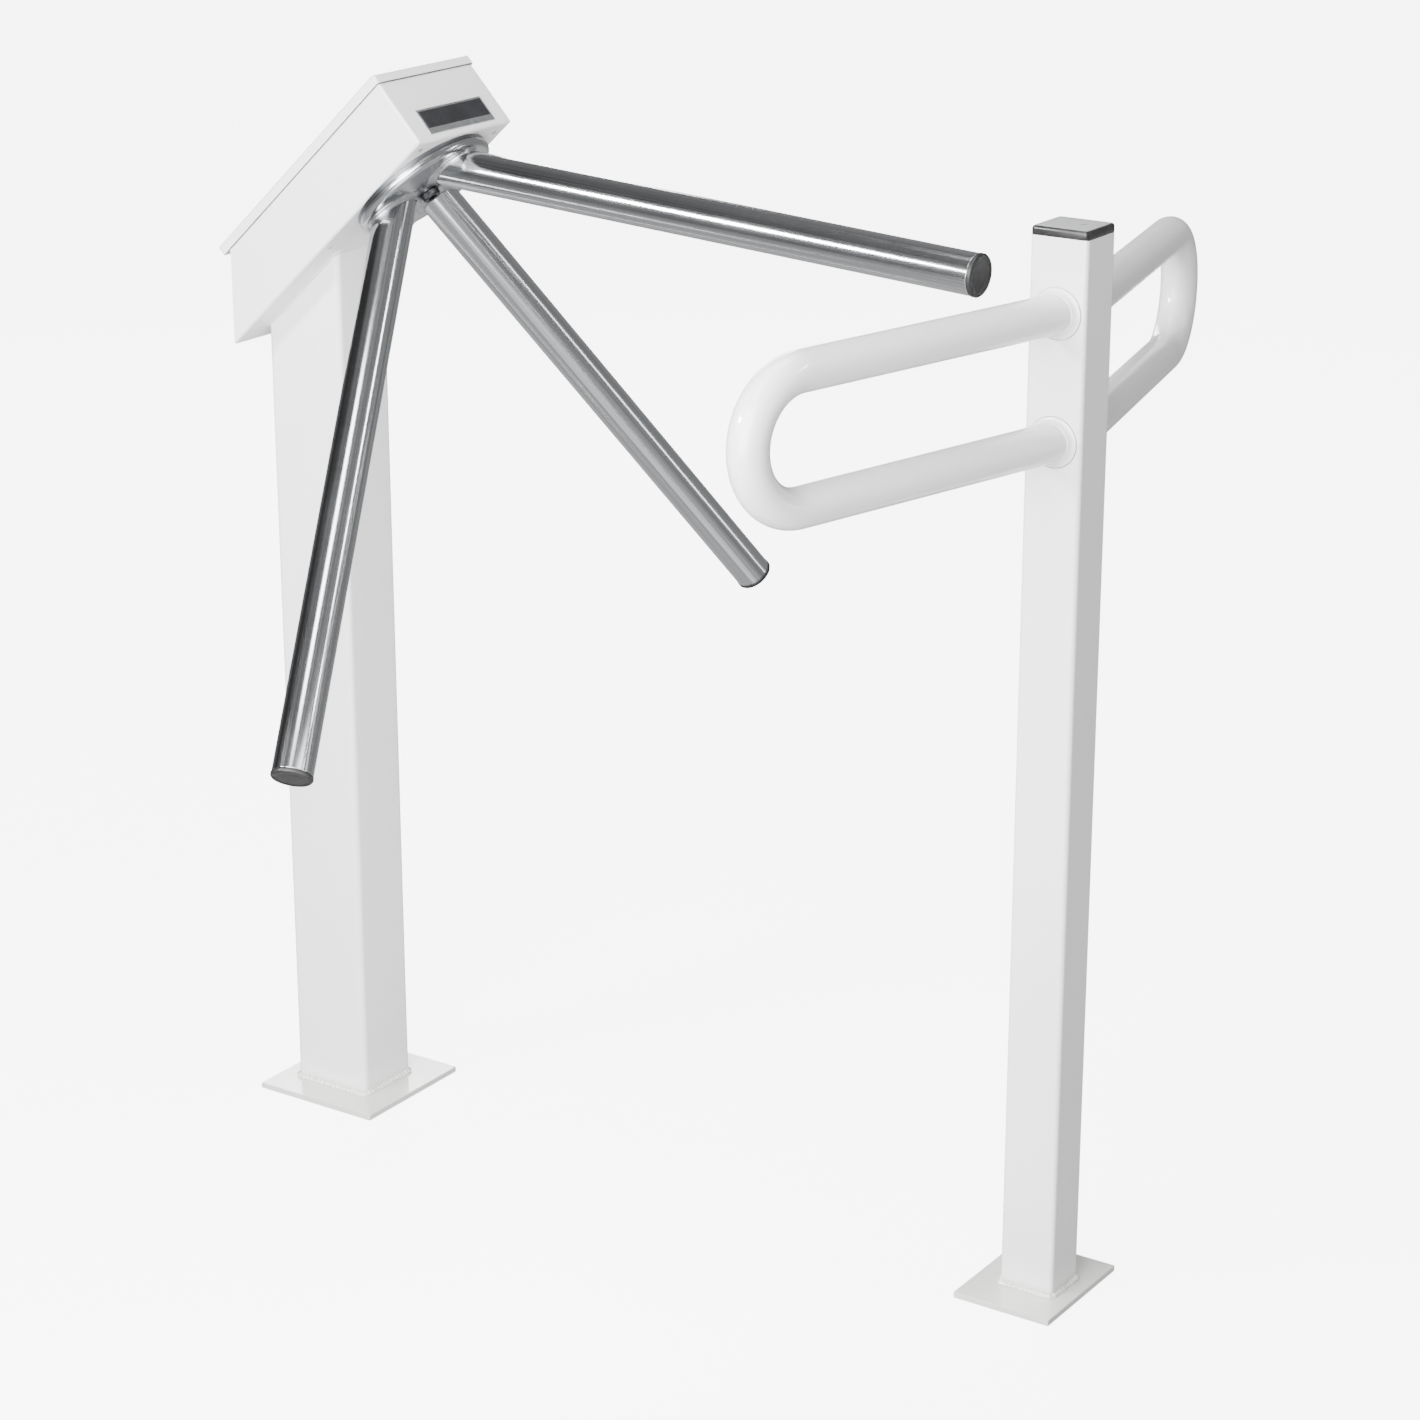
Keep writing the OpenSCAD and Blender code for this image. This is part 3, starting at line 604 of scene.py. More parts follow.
@dataclass(frozen=True)
class Bead:
    """Shape of a weld bead.

    Attributes:
        leg: Width on each face.
        bulge: 1 for a full round bead, 0 for a flat one, -1 for a hollow fillet.
        ripple: Depth of its ripples as a share of its leg.
        seed: Shifts its unevenness.
        pitch: Distance from ripple to ripple.
        patch: Size of its uneven patches.
    """

    leg: float
    bulge: float
    ripple: float
    seed: float = 0.0
    pitch: float = 2.8 * MM
    patch: float = 6.0 * MM
    # Depth of the patches against the ripples, and that of its back inside the corner as a
    # share of the leg
    UNEVEN: ClassVar[float] = 1.6
    BACK: ClassVar[float] = 0.12

    def along(self, seam: Sequence[SeamPoint]) -> Skin:
        """Lays the bead in a closed corner.

        Args:
            seam: Points of the corner, in order round it.

        Returns:
            Points and faces.
        """
        points: list[Vector] = []
        travelled = 0.0
        for index, spot in enumerate(seam):
            if index:
                travelled += (spot.place - seam[index - 1].place).length
            wave = math.sin(2 * math.pi * travelled / self.pitch)
            uneven = noise.noise(spot.place / self.patch + Vector((self.seed, 0, 0)))
            size = self.leg * (1 + self.ripple * (wave + self.UNEVEN * uneven))
            for step in range(ARC_STEPS + 1):
                share = step / ARC_STEPS
                turn = share * RIGHT_ANGLE
                flat = spot.up * (1 - share) + spot.out * share
                full = spot.up * math.cos(turn) + spot.out * math.sin(turn)
                reach = flat * (1 - self.bulge) + full * self.bulge
                points.append(spot.place + reach * size)
            points.append(spot.place - (spot.up + spot.out) * self.leg * self.BACK)
        return points, stack(len(seam), ARC_STEPS + 2, closed=True)


def angles_round(facets: int) -> list[float]:
    """Angles in radians of points that are spread evenly round an axis."""
    return [2 * math.pi * i / facets for i in range(facets)]


def ray(angle: float) -> Vector:
    """Direction at an angle round z, in radians."""
    return Vector((math.cos(angle), math.sin(angle), 0))


def stack(rows: int, count: int, closed: bool = False) -> list[list[int]]:
    """Faces between closed rows of points, one row after another.

    Args:
        rows: Number of rows.
        count: Points in each row.
        closed: Whether the last row joins the first one.

    Returns:
        Faces as point numbers.
    """
    pairs = [(row, (row + 1) % rows) for row in range(rows if closed else rows - 1)]
    return [
        [a * count + i, a * count + (i + 1) % count, b * count + (i + 1) % count, b * count + i]
        for a, b in pairs
        for i in range(count)
    ]


def rings_mm(steps: Sequence[Span], outline: Outline = Outline.ROUND) -> list[Ring]:
    """Rings of one outline, from the radius and height of each in millimetres."""
    return [Ring(radius * MM, height * MM, outline) for radius, height in steps]


def turned(rings: Sequence[Ring], frame: Matrix, facets: int) -> Skin:
    """Points and faces of a turned piece.

    Args:
        rings: Rings from one end of its skin to the other; the ends close on the axis.
        frame: Frame whose z is the piece's axis.
        facets: Points in each ring.

    Returns:
        Points in the part's frame, and faces.
    """
    points = [
        frame @ (ray(angle) * ring.at(angle) + UP * ring.height)
        for ring in rings
        for angle in angles_round(facets)
    ]
    faces = stack(len(rings), facets)
    for row, flip in ((0, True), (len(rings) - 1, False)):
        points.append(frame @ (UP * rings[row].height))
        middle = len(points) - 1
        for i in range(facets):
            pair = [row * facets + i, row * facets + (i + 1) % facets]
            faces.append([middle, *(reversed(pair) if flip else pair)])
    return points, faces


def rounded_path(
    width: float, depth: float, radius: float, pitch: float = 1.0
) -> list[tuple[Vector, Vector]]:
    """Points of a rectangle with round corners and their outward directions.

    Args:
        width: Size along x.
        depth: Size along y.
        radius: Corner radius.
        pitch: About the distance between points on its straight sides.

    Returns:
        Pairs of a point and its outward direction, in order round the outline.
    """
    path: list[tuple[Vector, Vector]] = []
    half_x, half_y = width / 2 - radius, depth / 2 - radius
    corners = [Vector((x * half_x, y * half_y, 0)) for x, y in ((1, 1), (-1, 1), (-1, -1), (1, -1))]
    for index, corner in enumerate(corners):
        for step in range(ARC_STEPS + 1):
            out = ray(RIGHT_ANGLE * (index + step / ARC_STEPS))
            path.append((corner + out * radius, out))
        here, after = path[-1][0], corners[(index + 1) % 4] + out * radius
        count = max(1, int((after - here).length / pitch))
        path += [(here.lerp(after, step / count), out) for step in range(1, count)]
    return path


def tube_seam(
    frame: Matrix, radius: float, face: Vector, normal: Vector, facets: int
) -> list[SeamPoint]:
    """Corner where a round tube meets a flat face.

    Args:
        frame: Frame whose z runs along the tube.
        radius: The tube's outer radius.
        face: A point of the face.
        normal: The way that the face looks.
        facets: Points in the corner.

    Returns:
        The corner's points.
    """
    turn = frame.to_3x3()
    along = turn @ UP
    seam = []
    for angle in angles_round(facets):
        spoke = turn @ ray(angle)
        base = frame.to_translation() + spoke * radius
        place = base + along * ((face - base).dot(normal) / along.dot(normal))
        out = spoke - normal * spoke.dot(normal)
        seam.append(SeamPoint(place, along, out.normalized()))
    return seam


def add_object(name: str, data: bpy.types.ID) -> bpy.types.Object:
    """Adds an object to the scene.

    Args:
        name: Its name.
        data: The mesh, light or camera that it shows.

    Returns:
        The object.
    """
    obj = bpy.data.objects.new(name, data)
    bpy.context.scene.collection.objects.link(obj)
    return obj


class Workshop:
    """Holds the part's nodes and finishes, and puts new pieces on it."""

    # Steps of a broken edge, and the angle in degrees from which an edge is sharp
    SOFT_STEPS: ClassVar[int] = 2
    SHARP_FROM: ClassVar[float] = 40.0

    def __init__(self, nodes: dict[str, bpy.types.Object]) -> None:
        """Starts with the part as loaded, and no finishes.

        Args:
            nodes: The part's nodes by name.
        """
        self.nodes = nodes
        self.looks: dict[Look, bpy.types.Material] = {}
        self.dressed: set[str] = set()

    def stock(self, finishes: dict[Look, Finish]) -> None:
        """Makes the finishes, given by look."""
        self.looks = {look: finish.make() for look, finish in finishes.items()}

    def dress(self, name: str, look: Look) -> None:
        """Gives one node a finish.

        Args:
            name: The node.
            look: Its finish.
        """
        obj = self.nodes[name]
        if not obj.material_slots:
            obj.data.materials.append(self.looks[look])
        for slot in obj.material_slots:
            slot.material = self.looks[look]
        self.dressed.add(name)
        LOG.info("dressed %s as %s", name, look.value)

    def soften(self, name: str, width: float) -> None:
        """Breaks the sharp edges of a node, as paint and filing do.

        Args:
            name: The node.
            width: Width of the broken edge.
        """
        modifiers = self.nodes[name].modifiers
        # Each loaded face has points of its own, and an edge only breaks where they are joined
        modifiers.new("joined", "WELD").merge_threshold = SAME_POINT
        bevel = modifiers.new("soft_edge", "BEVEL")
        bevel.width = width
        bevel.segments = self.SOFT_STEPS
        bevel.limit_method = "ANGLE"
        bevel.angle_limit = math.radians(self.SHARP_FROM)

    def piece(
        self, name: str, skin: Skin, look: Look, body: Body, slot: Slot,
        smooth: bool = True, stands_for: str = "",
    ) -> None:
        """Makes a mesh piece that rides on a body.

        Args:
            name: The piece's name.
            skin: Its points in the part's frame and its faces.
            look: Its finish.
            body: The body that it moves with.
            slot: The record's slot that it stands for; not used.
            smooth: Whether its faces are shaded smooth.
            stands_for: The node that it replaces, if any.
        """
        points, faces = skin
        mesh = bpy.data.meshes.new(name)
        mesh.from_pydata([tuple(p) for p in points], [], [tuple(f) for f in faces])
        mesh.validate()
        shape = bmesh.new()
        shape.from_mesh(mesh)
        bmesh.ops.recalc_face_normals(shape, faces=shape.faces)
        shape.to_mesh(mesh)
        shape.free()
        for polygon in mesh.polygons:
            polygon.use_smooth = smooth
        mesh.materials.append(self.looks[look])
        obj = add_object(name, mesh)
        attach(obj, body.value)
        if stands_for:
            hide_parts(stands_for)
        LOG.info("made %s", name)


# Sub-assemblies


@dataclass(frozen=True)
class SubAssembly:
    """Nodes and pieces that are dressed together.

    Attributes:
        shop: Makes the pieces and holds the finishes.
    """

    shop: Workshop
    LOOKS: ClassVar[Dressing] = {}

    def dress(self) -> None:
        """Gives the nodes their finishes."""
        for look, names in self.LOOKS.items():
            for name in names:
                self.shop.dress(name, look)

    def build(self) -> None:
        """Makes the pieces; one without pieces has none to make."""


@dataclass(frozen=True)
class Head(SubAssembly):
    """Sloping head: casing, lid with its screws, a dark strip of painted shade under its skirt, and
    the blank plate on its nose.
    """

    slope: float = 43.0
    rise: float = 0.853
    width: float = 0.142
    nose_u: float = 0.241
    rear_u: float = -0.0177
    seam_v: float = 0.069
    fold_r: float = 0.003
    lid_rear_u: float = -0.0287
    screw_y: float = 0.0524
    screw_v: float = 0.074
    screw_facets: int = 36
    # Section of the dark strip of painted shade under the lid's skirt: thickness, reach out from the
    # casing, lip, and depth into it
    shade_strip_t: float = 0.6 * MM
    shade_strip_out: float = 1.3 * MM
    shade_strip_lip: float = 0.2 * MM
    shade_strip_in: float = 0.4 * MM
    badge_t: float = 0.001
    badge_l: float = 0.098
    badge_h: float = 0.027
    badge_low: float = 0.006
    badge_soft: float = 0.2 * MM
    border: float = 2.0 * MM
    strip: float = 6.2 * MM
    field_lift: float = 0.3 * MM

    LOOKS: ClassVar[Dressing] = {
        Look.POWDER_COAT: ("head_casing", "head_lid", "lid_blocks"),
        Look.ZINC: ("lid_screws",),
        Look.PLATE_ALUMINIUM: ("name_plate",),
    }

    @property
    def frame(self) -> Matrix:
        """Frame of the head, where its underside crosses the post's centre line."""
        turn = Matrix.Rotation(-math.radians(self.slope), 4, "Y")
        return Matrix.Translation(UP * self.rise) @ turn

    def build(self) -> None:
        """Makes the screws, the dark strip of painted shade under the lid and the plate's field."""
        self.screws()
        self.seam_shade_strip()
        self.plate_field()
        self.shop.soften("name_plate", self.badge_soft)

    def screws(self) -> None:
        """Replaces the lid's plain screws by button heads with sockets."""
        rings = rings_mm((
            (2.0, -5.0), (2.4, -4.6), (2.4, 0.0), (3.8, 0.0), (4.0, 0.3), (3.9, 1.3), (3.4, 2.4),
            (2.7, 3.1), (2.1, 3.5),
        )) + rings_mm(((1.7, 3.4), (1.6, 3.2), (1.6, 1.8)), Outline.HEX)
        lying = Matrix.Rotation(-RIGHT_ANGLE, 4, "Y")
        points: list[Vector] = []
        faces: list[list[int]] = []
        for side in Side:
            place = Vector((self.lid_rear_u, side.value * self.screw_y, self.screw_v))
            frame = self.frame @ Matrix.Translation(place) @ lying
            more, cells = turned(rings, frame, self.screw_facets)
            faces += [[i + len(points) for i in cell] for cell in cells]
            points += more
        self.shop.piece(
            "lid_button_screws", (points, faces), Look.ZINC, Body.FRAME, Slot.FASTENER,
            stands_for="lid_screws",
        )

    def seam_shade_strip(self) -> None:
        """Adds a thin dark strip under the lid's skirt, drawn as rubber: painted shade of the seam
        gap.
        """
        length = self.nose_u - self.rear_u
        middle = self.frame @ Matrix.Translation((self.rear_u + length / 2, 0, self.seam_v))
        section = (
            (self.shade_strip_out, 0.0), (self.shade_strip_out, -self.shade_strip_t / 2),
            (self.shade_strip_out - self.shade_strip_lip, -self.shade_strip_t), (-self.shade_strip_in, -self.shade_strip_t),
            (-self.shade_strip_in, 0.0),
        )
        path = rounded_path(length, self.width, self.fold_r)
        points = [
            middle @ (place + out * away + UP * rise)
            for place, out in path
            for away, rise in section
        ]
        faces = stack(len(path), len(section), closed=True)
        self.shop.piece(
            "lid_seam_shade_strip", (points, faces), Look.RUBBER, Body.FRAME, Slot.PLASTIC, smooth=False
        )

    def plate_field(self) -> None:
        """Adds the blank dark field of the plate on the nose, inside its bright border."""
        face, lift = self.nose_u + self.badge_t, self.field_lift
        half = self.badge_l / 2 - self.border
        low, high = self.badge_low + self.strip, self.badge_low + self.badge_h - self.border
        points = [
            self.frame @ Vector((face + height, y * (half - inset), edge + inset * inward))
            for inset, height in ((0.0, -lift), (0.0, 0.0), (lift, lift))
            for y, edge, inward in ((-1, low, 1), (1, low, 1), (1, high, -1), (-1, high, -1))
        ]
        faces = [[3, 2, 1, 0], [8, 9, 10, 11], *stack(3, 4)]
        self.shop.piece(
            "name_plate_field", (points, faces), Look.PLATE_ENAMEL, Body.FRAME, Slot.DARK,
            smooth=False,
        )


@dataclass(frozen=True)
class Post(SubAssembly):
    """Rectangular tube post on its floor plate, with a bead at its foot."""

    x: float = 0.0
    post_w: float = 0.090
    post_d: float = 0.075
    post_r: float = 0.006
    plate_t: float = 0.006
    plate_soft: float = 0.6 * MM
    seam_pitch: float = 1.2 * MM
    foot_bead: Bead = Bead(leg=3.8 * MM, bulge=0.7, ripple=0.2, pitch=5.0 * MM, patch=9.0 * MM)

    def outline(self) -> list[tuple[Vector, Vector]]:
        """Points round the post with their outward directions, about its middle."""
        return rounded_path(self.post_w, self.post_d, self.post_r, self.seam_pitch)

    def painted_bead(self, name: str, bead: Bead, seam: Sequence[SeamPoint]) -> None:
        """Adds a weld bead along a seam, painted over with the post."""
        self.shop.piece(name, bead.along(seam), Look.POWDER_COAT, Body.FRAME, Slot.WHITE)

    def foot(self, owner: str) -> None:
        """Softens the floor plate and adds the bead at the post's foot.

        Args:
            owner: First word in the names of the plate and the bead.
        """
        self.shop.soften(f"{owner}_base_plate", self.plate_soft)
        base = Vector((self.x, 0, self.plate_t))
        seam = [SeamPoint(place + base, UP, out) for place, out in self.outline()]
        self.painted_bead(f"{owner}_foot_weld", self.foot_bead, seam)


@dataclass(frozen=True, kw_only=True)
class Pedestal(Post):
    """Pedestal: floor plate, post and the beads at its foot and under the head.

    Attributes:
        head: The head that it carries.
    """

    head: Head
    head_bead: Bead = Bead(leg=2.2 * MM, bulge=0.5, ripple=0.06, seed=77.0)

    LOOKS: ClassVar[Dressing] = {Look.POWDER_COAT: ("pedestal_base_plate", "pedestal_post")}

    def build(self) -> None:
        """Makes the beads at the foot and under the head."""
        self.foot("pedestal")
        tilt = math.tan(math.radians(self.head.slope))
        under = []
        for place, out in self.outline():
            corner = Vector((place.x, place.y, self.head.rise + place.x * tilt))
            along = Vector((out.x, out.y, out.x * tilt)).normalized()
            under.append(SeamPoint(corner, -UP, along))
        self.painted_bead("head_weld", self.head_bead, under)


@dataclass(frozen=True)
class Rotor(SubAssembly):
    """Rotor: hub disc with its bolt, and three tube arms with fillets and caps.

    Attributes:
        head: The head that it turns under.
    """

    head: Head
    hub_u: float = 0.165
    hub_face: float = 0.0126
    washer_t: float = 0.0015
    bolt_facets: int = 216
    arm_angle: float = 43.5
    arm_apex: float = 0.028
    arm_reach: float = 0.632
    arm_r: float = 0.01905
    arm_wall: float = 0.002
    root_sunk: float = 0.5 * MM
    tube_edge: float = 0.3 * MM
    tube_facets: int = 144
    tube_spans: int = 12
    cap_t: float = 0.005
    cap_proud: float = 0.5 * MM
    cap_facets: int = 72
    fillet_bead: Bead = Bead(leg=5.6 * MM, bulge=-0.7, ripple=0.015)
    fillet_facets: int = 132

    ARMS: ClassVar[dict[str, int]] = {"1": 0, "2": -1, "3": 1}
    LOOKS: ClassVar[Dressing] = {
        Look.TURNED_HUB: ("hub_disc",),
        Look.SATIN_COVER: ("cover_ring",),
        Look.BLACK_OXIDE: ("hub_washer", "hub_bolt"),
        Look.TUBE_1: ("arm_1",),
        Look.TUBE_2: ("arm_2",),
        Look.TUBE_3: ("arm_3",),
        Look.PLASTIC: ("arm_cap_1", "arm_cap_2", "arm_cap_3"),
    }

    @property
    def hub(self) -> Matrix:
        """Frame of the rotor, z up along its axis into the head."""
        return self.head.frame @ Matrix.Translation((self.hub_u, 0, 0))

    def arm(self, label: str) -> Matrix:
        """Frame of an arm.

        Args:
            label: The arm's number.

        Returns:
            The frame, z out along the arm from the point where the arms meet.
        """
        return (
            self.hub
            @ Matrix.Translation(UP * self.arm_apex)
            @ Matrix.Rotation(math.radians(120 * self.ARMS[label]), 4, "Z")
            @ Matrix.Rotation(math.radians(180 - self.arm_angle), 4, "Y")
        )

    def root(self, label: str, radius: float, sunk: float, facets: int) -> list[SeamPoint]:
        """Points where the skin of an arm's tube, with this radius, lies sunk in the disc."""
        face = self.hub @ (UP * (sunk - self.hub_face))
        return tube_seam(self.arm(label), radius, face, -(self.hub.to_3x3() @ UP), facets)

    def build(self) -> None:
        """Makes the tubes, the fillets, the caps and the bolt."""
        for (label, index), look in zip(self.ARMS.items(), (Look.TUBE_1, Look.TUBE_2, Look.TUBE_3)):
            self.tube(label, look)
            self.fillet(label, seed=3.0 * index)
            self.cap(label)
        self.bolt()

    def tube(self, label: str, look: Look) -> None:
        """Replaces an arm by a tube with an even mesh, so that its highlights run straight.

        Args:
            label: The arm's number.
            look: Its finish.
        """
        frame, edge, spans = self.arm(label), self.tube_edge, self.tube_spans
        back = frame.inverted()
        bore = self.arm_r - self.arm_wall
        end = self.arm_reach - self.cap_t
        outside = self.root(label, self.arm_r, self.root_sunk, self.tube_facets)
        inside = self.root(label, bore, self.root_sunk, self.tube_facets)
        points: list[Vector] = []
        for outer, inner in zip(outside, inside):
            at = back @ outer.place
            spoke = Vector((at.x, at.y, 0)) / self.arm_r
            heights = [at.z, at.z + edge]
            heights += [at.z + (end - at.z) * k / spans for k in range(1, spans)]
            skin = [(self.arm_r, height) for height in (*heights, end - 2 * edge, end - edge)]
            skin += [(self.arm_r - edge, end), (bore, end), (bore, (back @ inner.place).z)]
            points += [frame @ (spoke * radius + UP * height) for radius, height in skin]
        faces = stack(self.tube_facets, len(points) // self.tube_facets, closed=True)
        self.shop.piece(
            f"arm_tube_{label}", (points, faces), look, Body.ROTOR, Slot.STAINLESS,
            stands_for=f"arm_{label}",
        )

    def fillet(self, label: str, seed: float) -> None:
        """Adds the hollow fillet weld that joins an arm to the hub disc.

        Args:
            label: The arm's number.
            seed: Shifts the weld's unevenness.
        """
        seam = self.root(label, self.arm_r, 0.0, self.fillet_facets)
        bead = replace(self.fillet_bead, seed=seed)
        self.shop.piece(
            f"arm_root_weld_{label}", bead.along(seam), Look.WELD, Body.ROTOR, Slot.STAINLESS
        )

    def cap(self, label: str) -> None:
        """Replaces an arm's cap by a moulded one with a proud rim round a sunk face.

        Args:
            label: The arm's number.
        """
        rim = self.arm_r + self.cap_proud
        # Steps inwards from the rim and down from the arm's end, in millimetres
        steps = (
            (2.9, 23.0), (2.6, 22.4), (2.6, 5.2), (0.7, 5.0), (0.2, 4.8), (0.0, 4.3), (0.0, 1.8),
            (0.3, 1.3), (0.9, 0.5), (1.6, 0.0), (2.2, 0.2), (2.5, 0.8), (6.05, 0.7), (13.55, 0.5),
        )
        rings = [Ring(rim - inset * MM, self.arm_reach - drop * MM) for inset, drop in steps]
        skin = turned(rings, self.arm(label), self.cap_facets)
        self.shop.piece(
            f"arm_end_cap_{label}", skin, Look.PLASTIC, Body.ROTOR, Slot.PLASTIC,
            stands_for=f"arm_cap_{label}",
        )

    def bolt(self) -> None:
        """Replaces the plain bolt by one with a knurled head, a socket and a chamfer."""
        seat = self.hub @ Matrix.Translation(UP * (-self.hub_face - self.washer_t))
        rings = [
            *rings_mm(((4.6, 19.5), (5.0, 19.1), (5.0, 0.0), (8.8, 0.0))),
            *rings_mm(((9.0, -0.4), (9.0, -4.8)), Outline.KNURL),
            *rings_mm(((8.8, -5.4), (8.2, -6.0), (5.6, -6.0))),
            *rings_mm(((5.2, -5.7), (5.0, -5.4), (5.0, -2.0), (4.7, -1.8)), Outline.HEX),
        ]
        self.shop.piece(
            "hub_bolt_knurled", turned(rings, seat, self.bolt_facets), Look.BLACK_OXIDE,
            Body.ROTOR, Slot.DARK, smooth=False, stands_for="hub_bolt",
        )


@dataclass(frozen=True)
class GuideRail(Post):
    """Guide post with its floor plate and cap, and the two hoops."""

    x: float = 0.820
    post_w: float = 0.055
    post_d: float = 0.050
    post_r: float = 0.004
    foot_bead: Bead = replace(Post.foot_bead, seed=33.0)
    post_h: float = 0.995
    cap_t: float = 0.008
    cap_least_r: float = 1.4 * MM
    hoop_r: float = 0.0175
    hoop_top: float = 0.930
    hoop_pitch: float = 0.112
    hoop_lean: float = 13.5
    collar_bead: Bead = Bead(leg=5.6 * MM, bulge=-0.85, ripple=0.02)
    collar_facets: int = 120

    LOOKS: ClassVar[Dressing] = {
        Look.POWDER_COAT: ("guide_base_plate", "guide_post", "near_hoop", "far_hoop"),
        Look.GUIDE_CAP: ("guide_cap",),
    }

    @property
    def cap_top(self) -> float:
        """Height of the cap's top face."""
        return self.post_h + self.cap_t

    def bar(self, side: Side, height: float) -> Matrix:
        """Frame of a hoop's bar at the guide post.

        Args:
            side: The hoop's side.
            height: Height of the bar.

        Returns:
            The frame, z out along the bar.
        """
        lean = math.radians(self.hoop_lean)
        away = Vector((-math.sin(lean), side.value * math.cos(lean), 0))
        turn = Matrix((UP.cross(away), UP, away)).transposed()
        place = Vector((self.x, side.value * self.post_d / 2, height))
        return Matrix.Translation(place) @ turn.to_4x4()

    def build(self) -> None:
        """Makes the collars, the bead at the foot and the cap."""
        for side in Side:
            self.collar(side, "top", self.hoop_top)
            self.collar(side, "low", self.hoop_top - self.hoop_pitch)
        self.foot("guide")
        self.cap()

    def collar(self, side: Side, level: str, height: float) -> None:
        """Adds the smooth fillet that joins a hoop's bar to the post.

        Args:
            side: The hoop's side.
            level: Name of the bar's level.
            height: Height of the bar.
        """
        frame = self.bar(side, height)
        normal = Vector((0, side.value, 0))
        seam = tube_seam(frame, self.hoop_r, frame.to_translation(), normal, self.collar_facets)
        bead = replace(self.collar_bead, seed=5.0 * side.value + height)
        self.painted_bead(f"hoop_weld_{side.name.lower()}_{level}", bead, seam)

    def cap(self) -> None:
        """Replaces the guide post's cap by one with soft edges and a low crown."""
        # Steps inwards from the post's faces and down from the cap's top, in millimetres
        steps = (
            (2.7, 20.0), (2.6, 8.2), (0.4, 8.0), (0.0, 7.6), (0.0, 2.8), (0.3, 1.6), (0.9, 0.8),
            (1.8, 0.3), (3.0, 0.1), (12.0, 0.0),
        )
        points: list[Vector] = []
        for inset, drop in ((inset * MM, drop * MM) for inset, drop in steps):
            radius = max(self.post_r - inset, self.cap_least_r)
            path = rounded_path(self.post_w - 2 * inset, self.post_d - 2 * inset, radius)
            middle = Vector((self.x, 0, self.cap_top - drop))
            points += [place + middle for place, _ in path]
        count = len(points) // len(steps)
        lowest, highest = list(range(count))[::-1], list(range(len(points) - count, len(points)))
        faces = [*stack(len(steps), count), lowest, highest]
        self.shop.piece(
            "guide_end_cap", (points, faces), Look.GUIDE_CAP, Body.FRAME, Slot.PLASTIC,
            stands_for="guide_cap",
        )


@dataclass(frozen=True)
class Mechanism(SubAssembly):
    """Parts inside the head: bearings, lock wheel, pawls, solenoids, damper and board."""

    LOOKS: ClassVar[Dressing] = {
        Look.MACHINED: (
            "lock_wheel", "rotor_shaft", "bearing_housing", "wheel_spacer", "bearing_spacer",
        ),
        Look.ROLLED: (
            "mechanism_plate", "hub_dowels", "pawl_posts", "pawl_springs", "solenoid_brackets",
        ),
        Look.GROUND: ("bearing_outer_rings", "bearing_inner_rings", "bearing_balls"),
        Look.ZINC: (
            "mechanism_screws", "housing_screws", "shaft_washer", "shaft_nut", "entry_plunger",
            "exit_plunger",
        ),
        Look.BLACK_OXIDE: (
            "bearing_circlip", "drive_key", "pawl_clips", "entry_pawl", "exit_pawl",
            "entry_solenoid", "exit_solenoid",
        ),
        Look.BRASS: ("drive_gear", "damper_pinion", "board_standoffs"),
        Look.DAMPER_ENAMEL: ("damper_body",),
        Look.PLASTIC: ("board_parts",),
        Look.LAMINATE: ("control_board",),
    }


# Studio


@dataclass(frozen=True)
class Softbox:
    """A soft light that faces a point, turned round its own axis by a roll in degrees."""

    name: str
    place: Place
    aim: Place
    size: Span
    watts: float
    roll: float = 0.0

    def hang(self) -> None:
        """Hangs the light, out of the camera's sight."""
        light = bpy.data.lights.new(self.name, "AREA")
        light.shape = "RECTANGLE"
        light.size, light.size_y = self.size
        light.energy = self.watts
        obj = add_object(self.name, light)
        obj.location = self.place
        obj.rotation_mode = "QUATERNION"
        level = (Vector(self.aim) - Vector(self.place)).to_track_quat("-Z", "Y")
        obj.rotation_quaternion = level @ Quaternion(UP, math.radians(self.roll))
        obj.visible_camera = False


@dataclass(frozen=True)
class Viewpoint:
    """Where the camera stands.

    Attributes:
        turn, dip: Angles to the right of -Y that it stands at, and down that it looks, in degrees.
        focal_px, frame_px: Focal length and width of the square frame in its pixels.
        reach: Nearest and farthest distance that it sees.
    """

    place: Place = (2.2384, -2.6654, 1.6077)
    turn: float = 33.85
    dip: float = 19.08
    focal_px: float = 3600.0
    frame_px: float = 1420.0
    sensor_mm: float = 36.0
    reach: Span = (0.05, 100.0)

    def stand(self) -> None:
        """Stands the camera where the photograph was taken from."""
        turn, dip = math.radians(self.turn), math.radians(self.dip)
        level = Vector((-math.sin(turn), math.cos(turn), 0))
        data = bpy.data.cameras.new("camera")
        data.sensor_width = self.sensor_mm
        data.lens = self.sensor_mm * self.focal_px / self.frame_px
        data.clip_start, data.clip_end = self.reach
        obj = add_object("camera", data)
        obj.location = self.place
        obj.rotation_mode = "QUATERNION"
        ahead = level * math.cos(dip) - UP * math.sin(dip)
        obj.rotation_quaternion = ahead.to_track_quat("-Z", "Y")
        bpy.context.scene.camera = obj


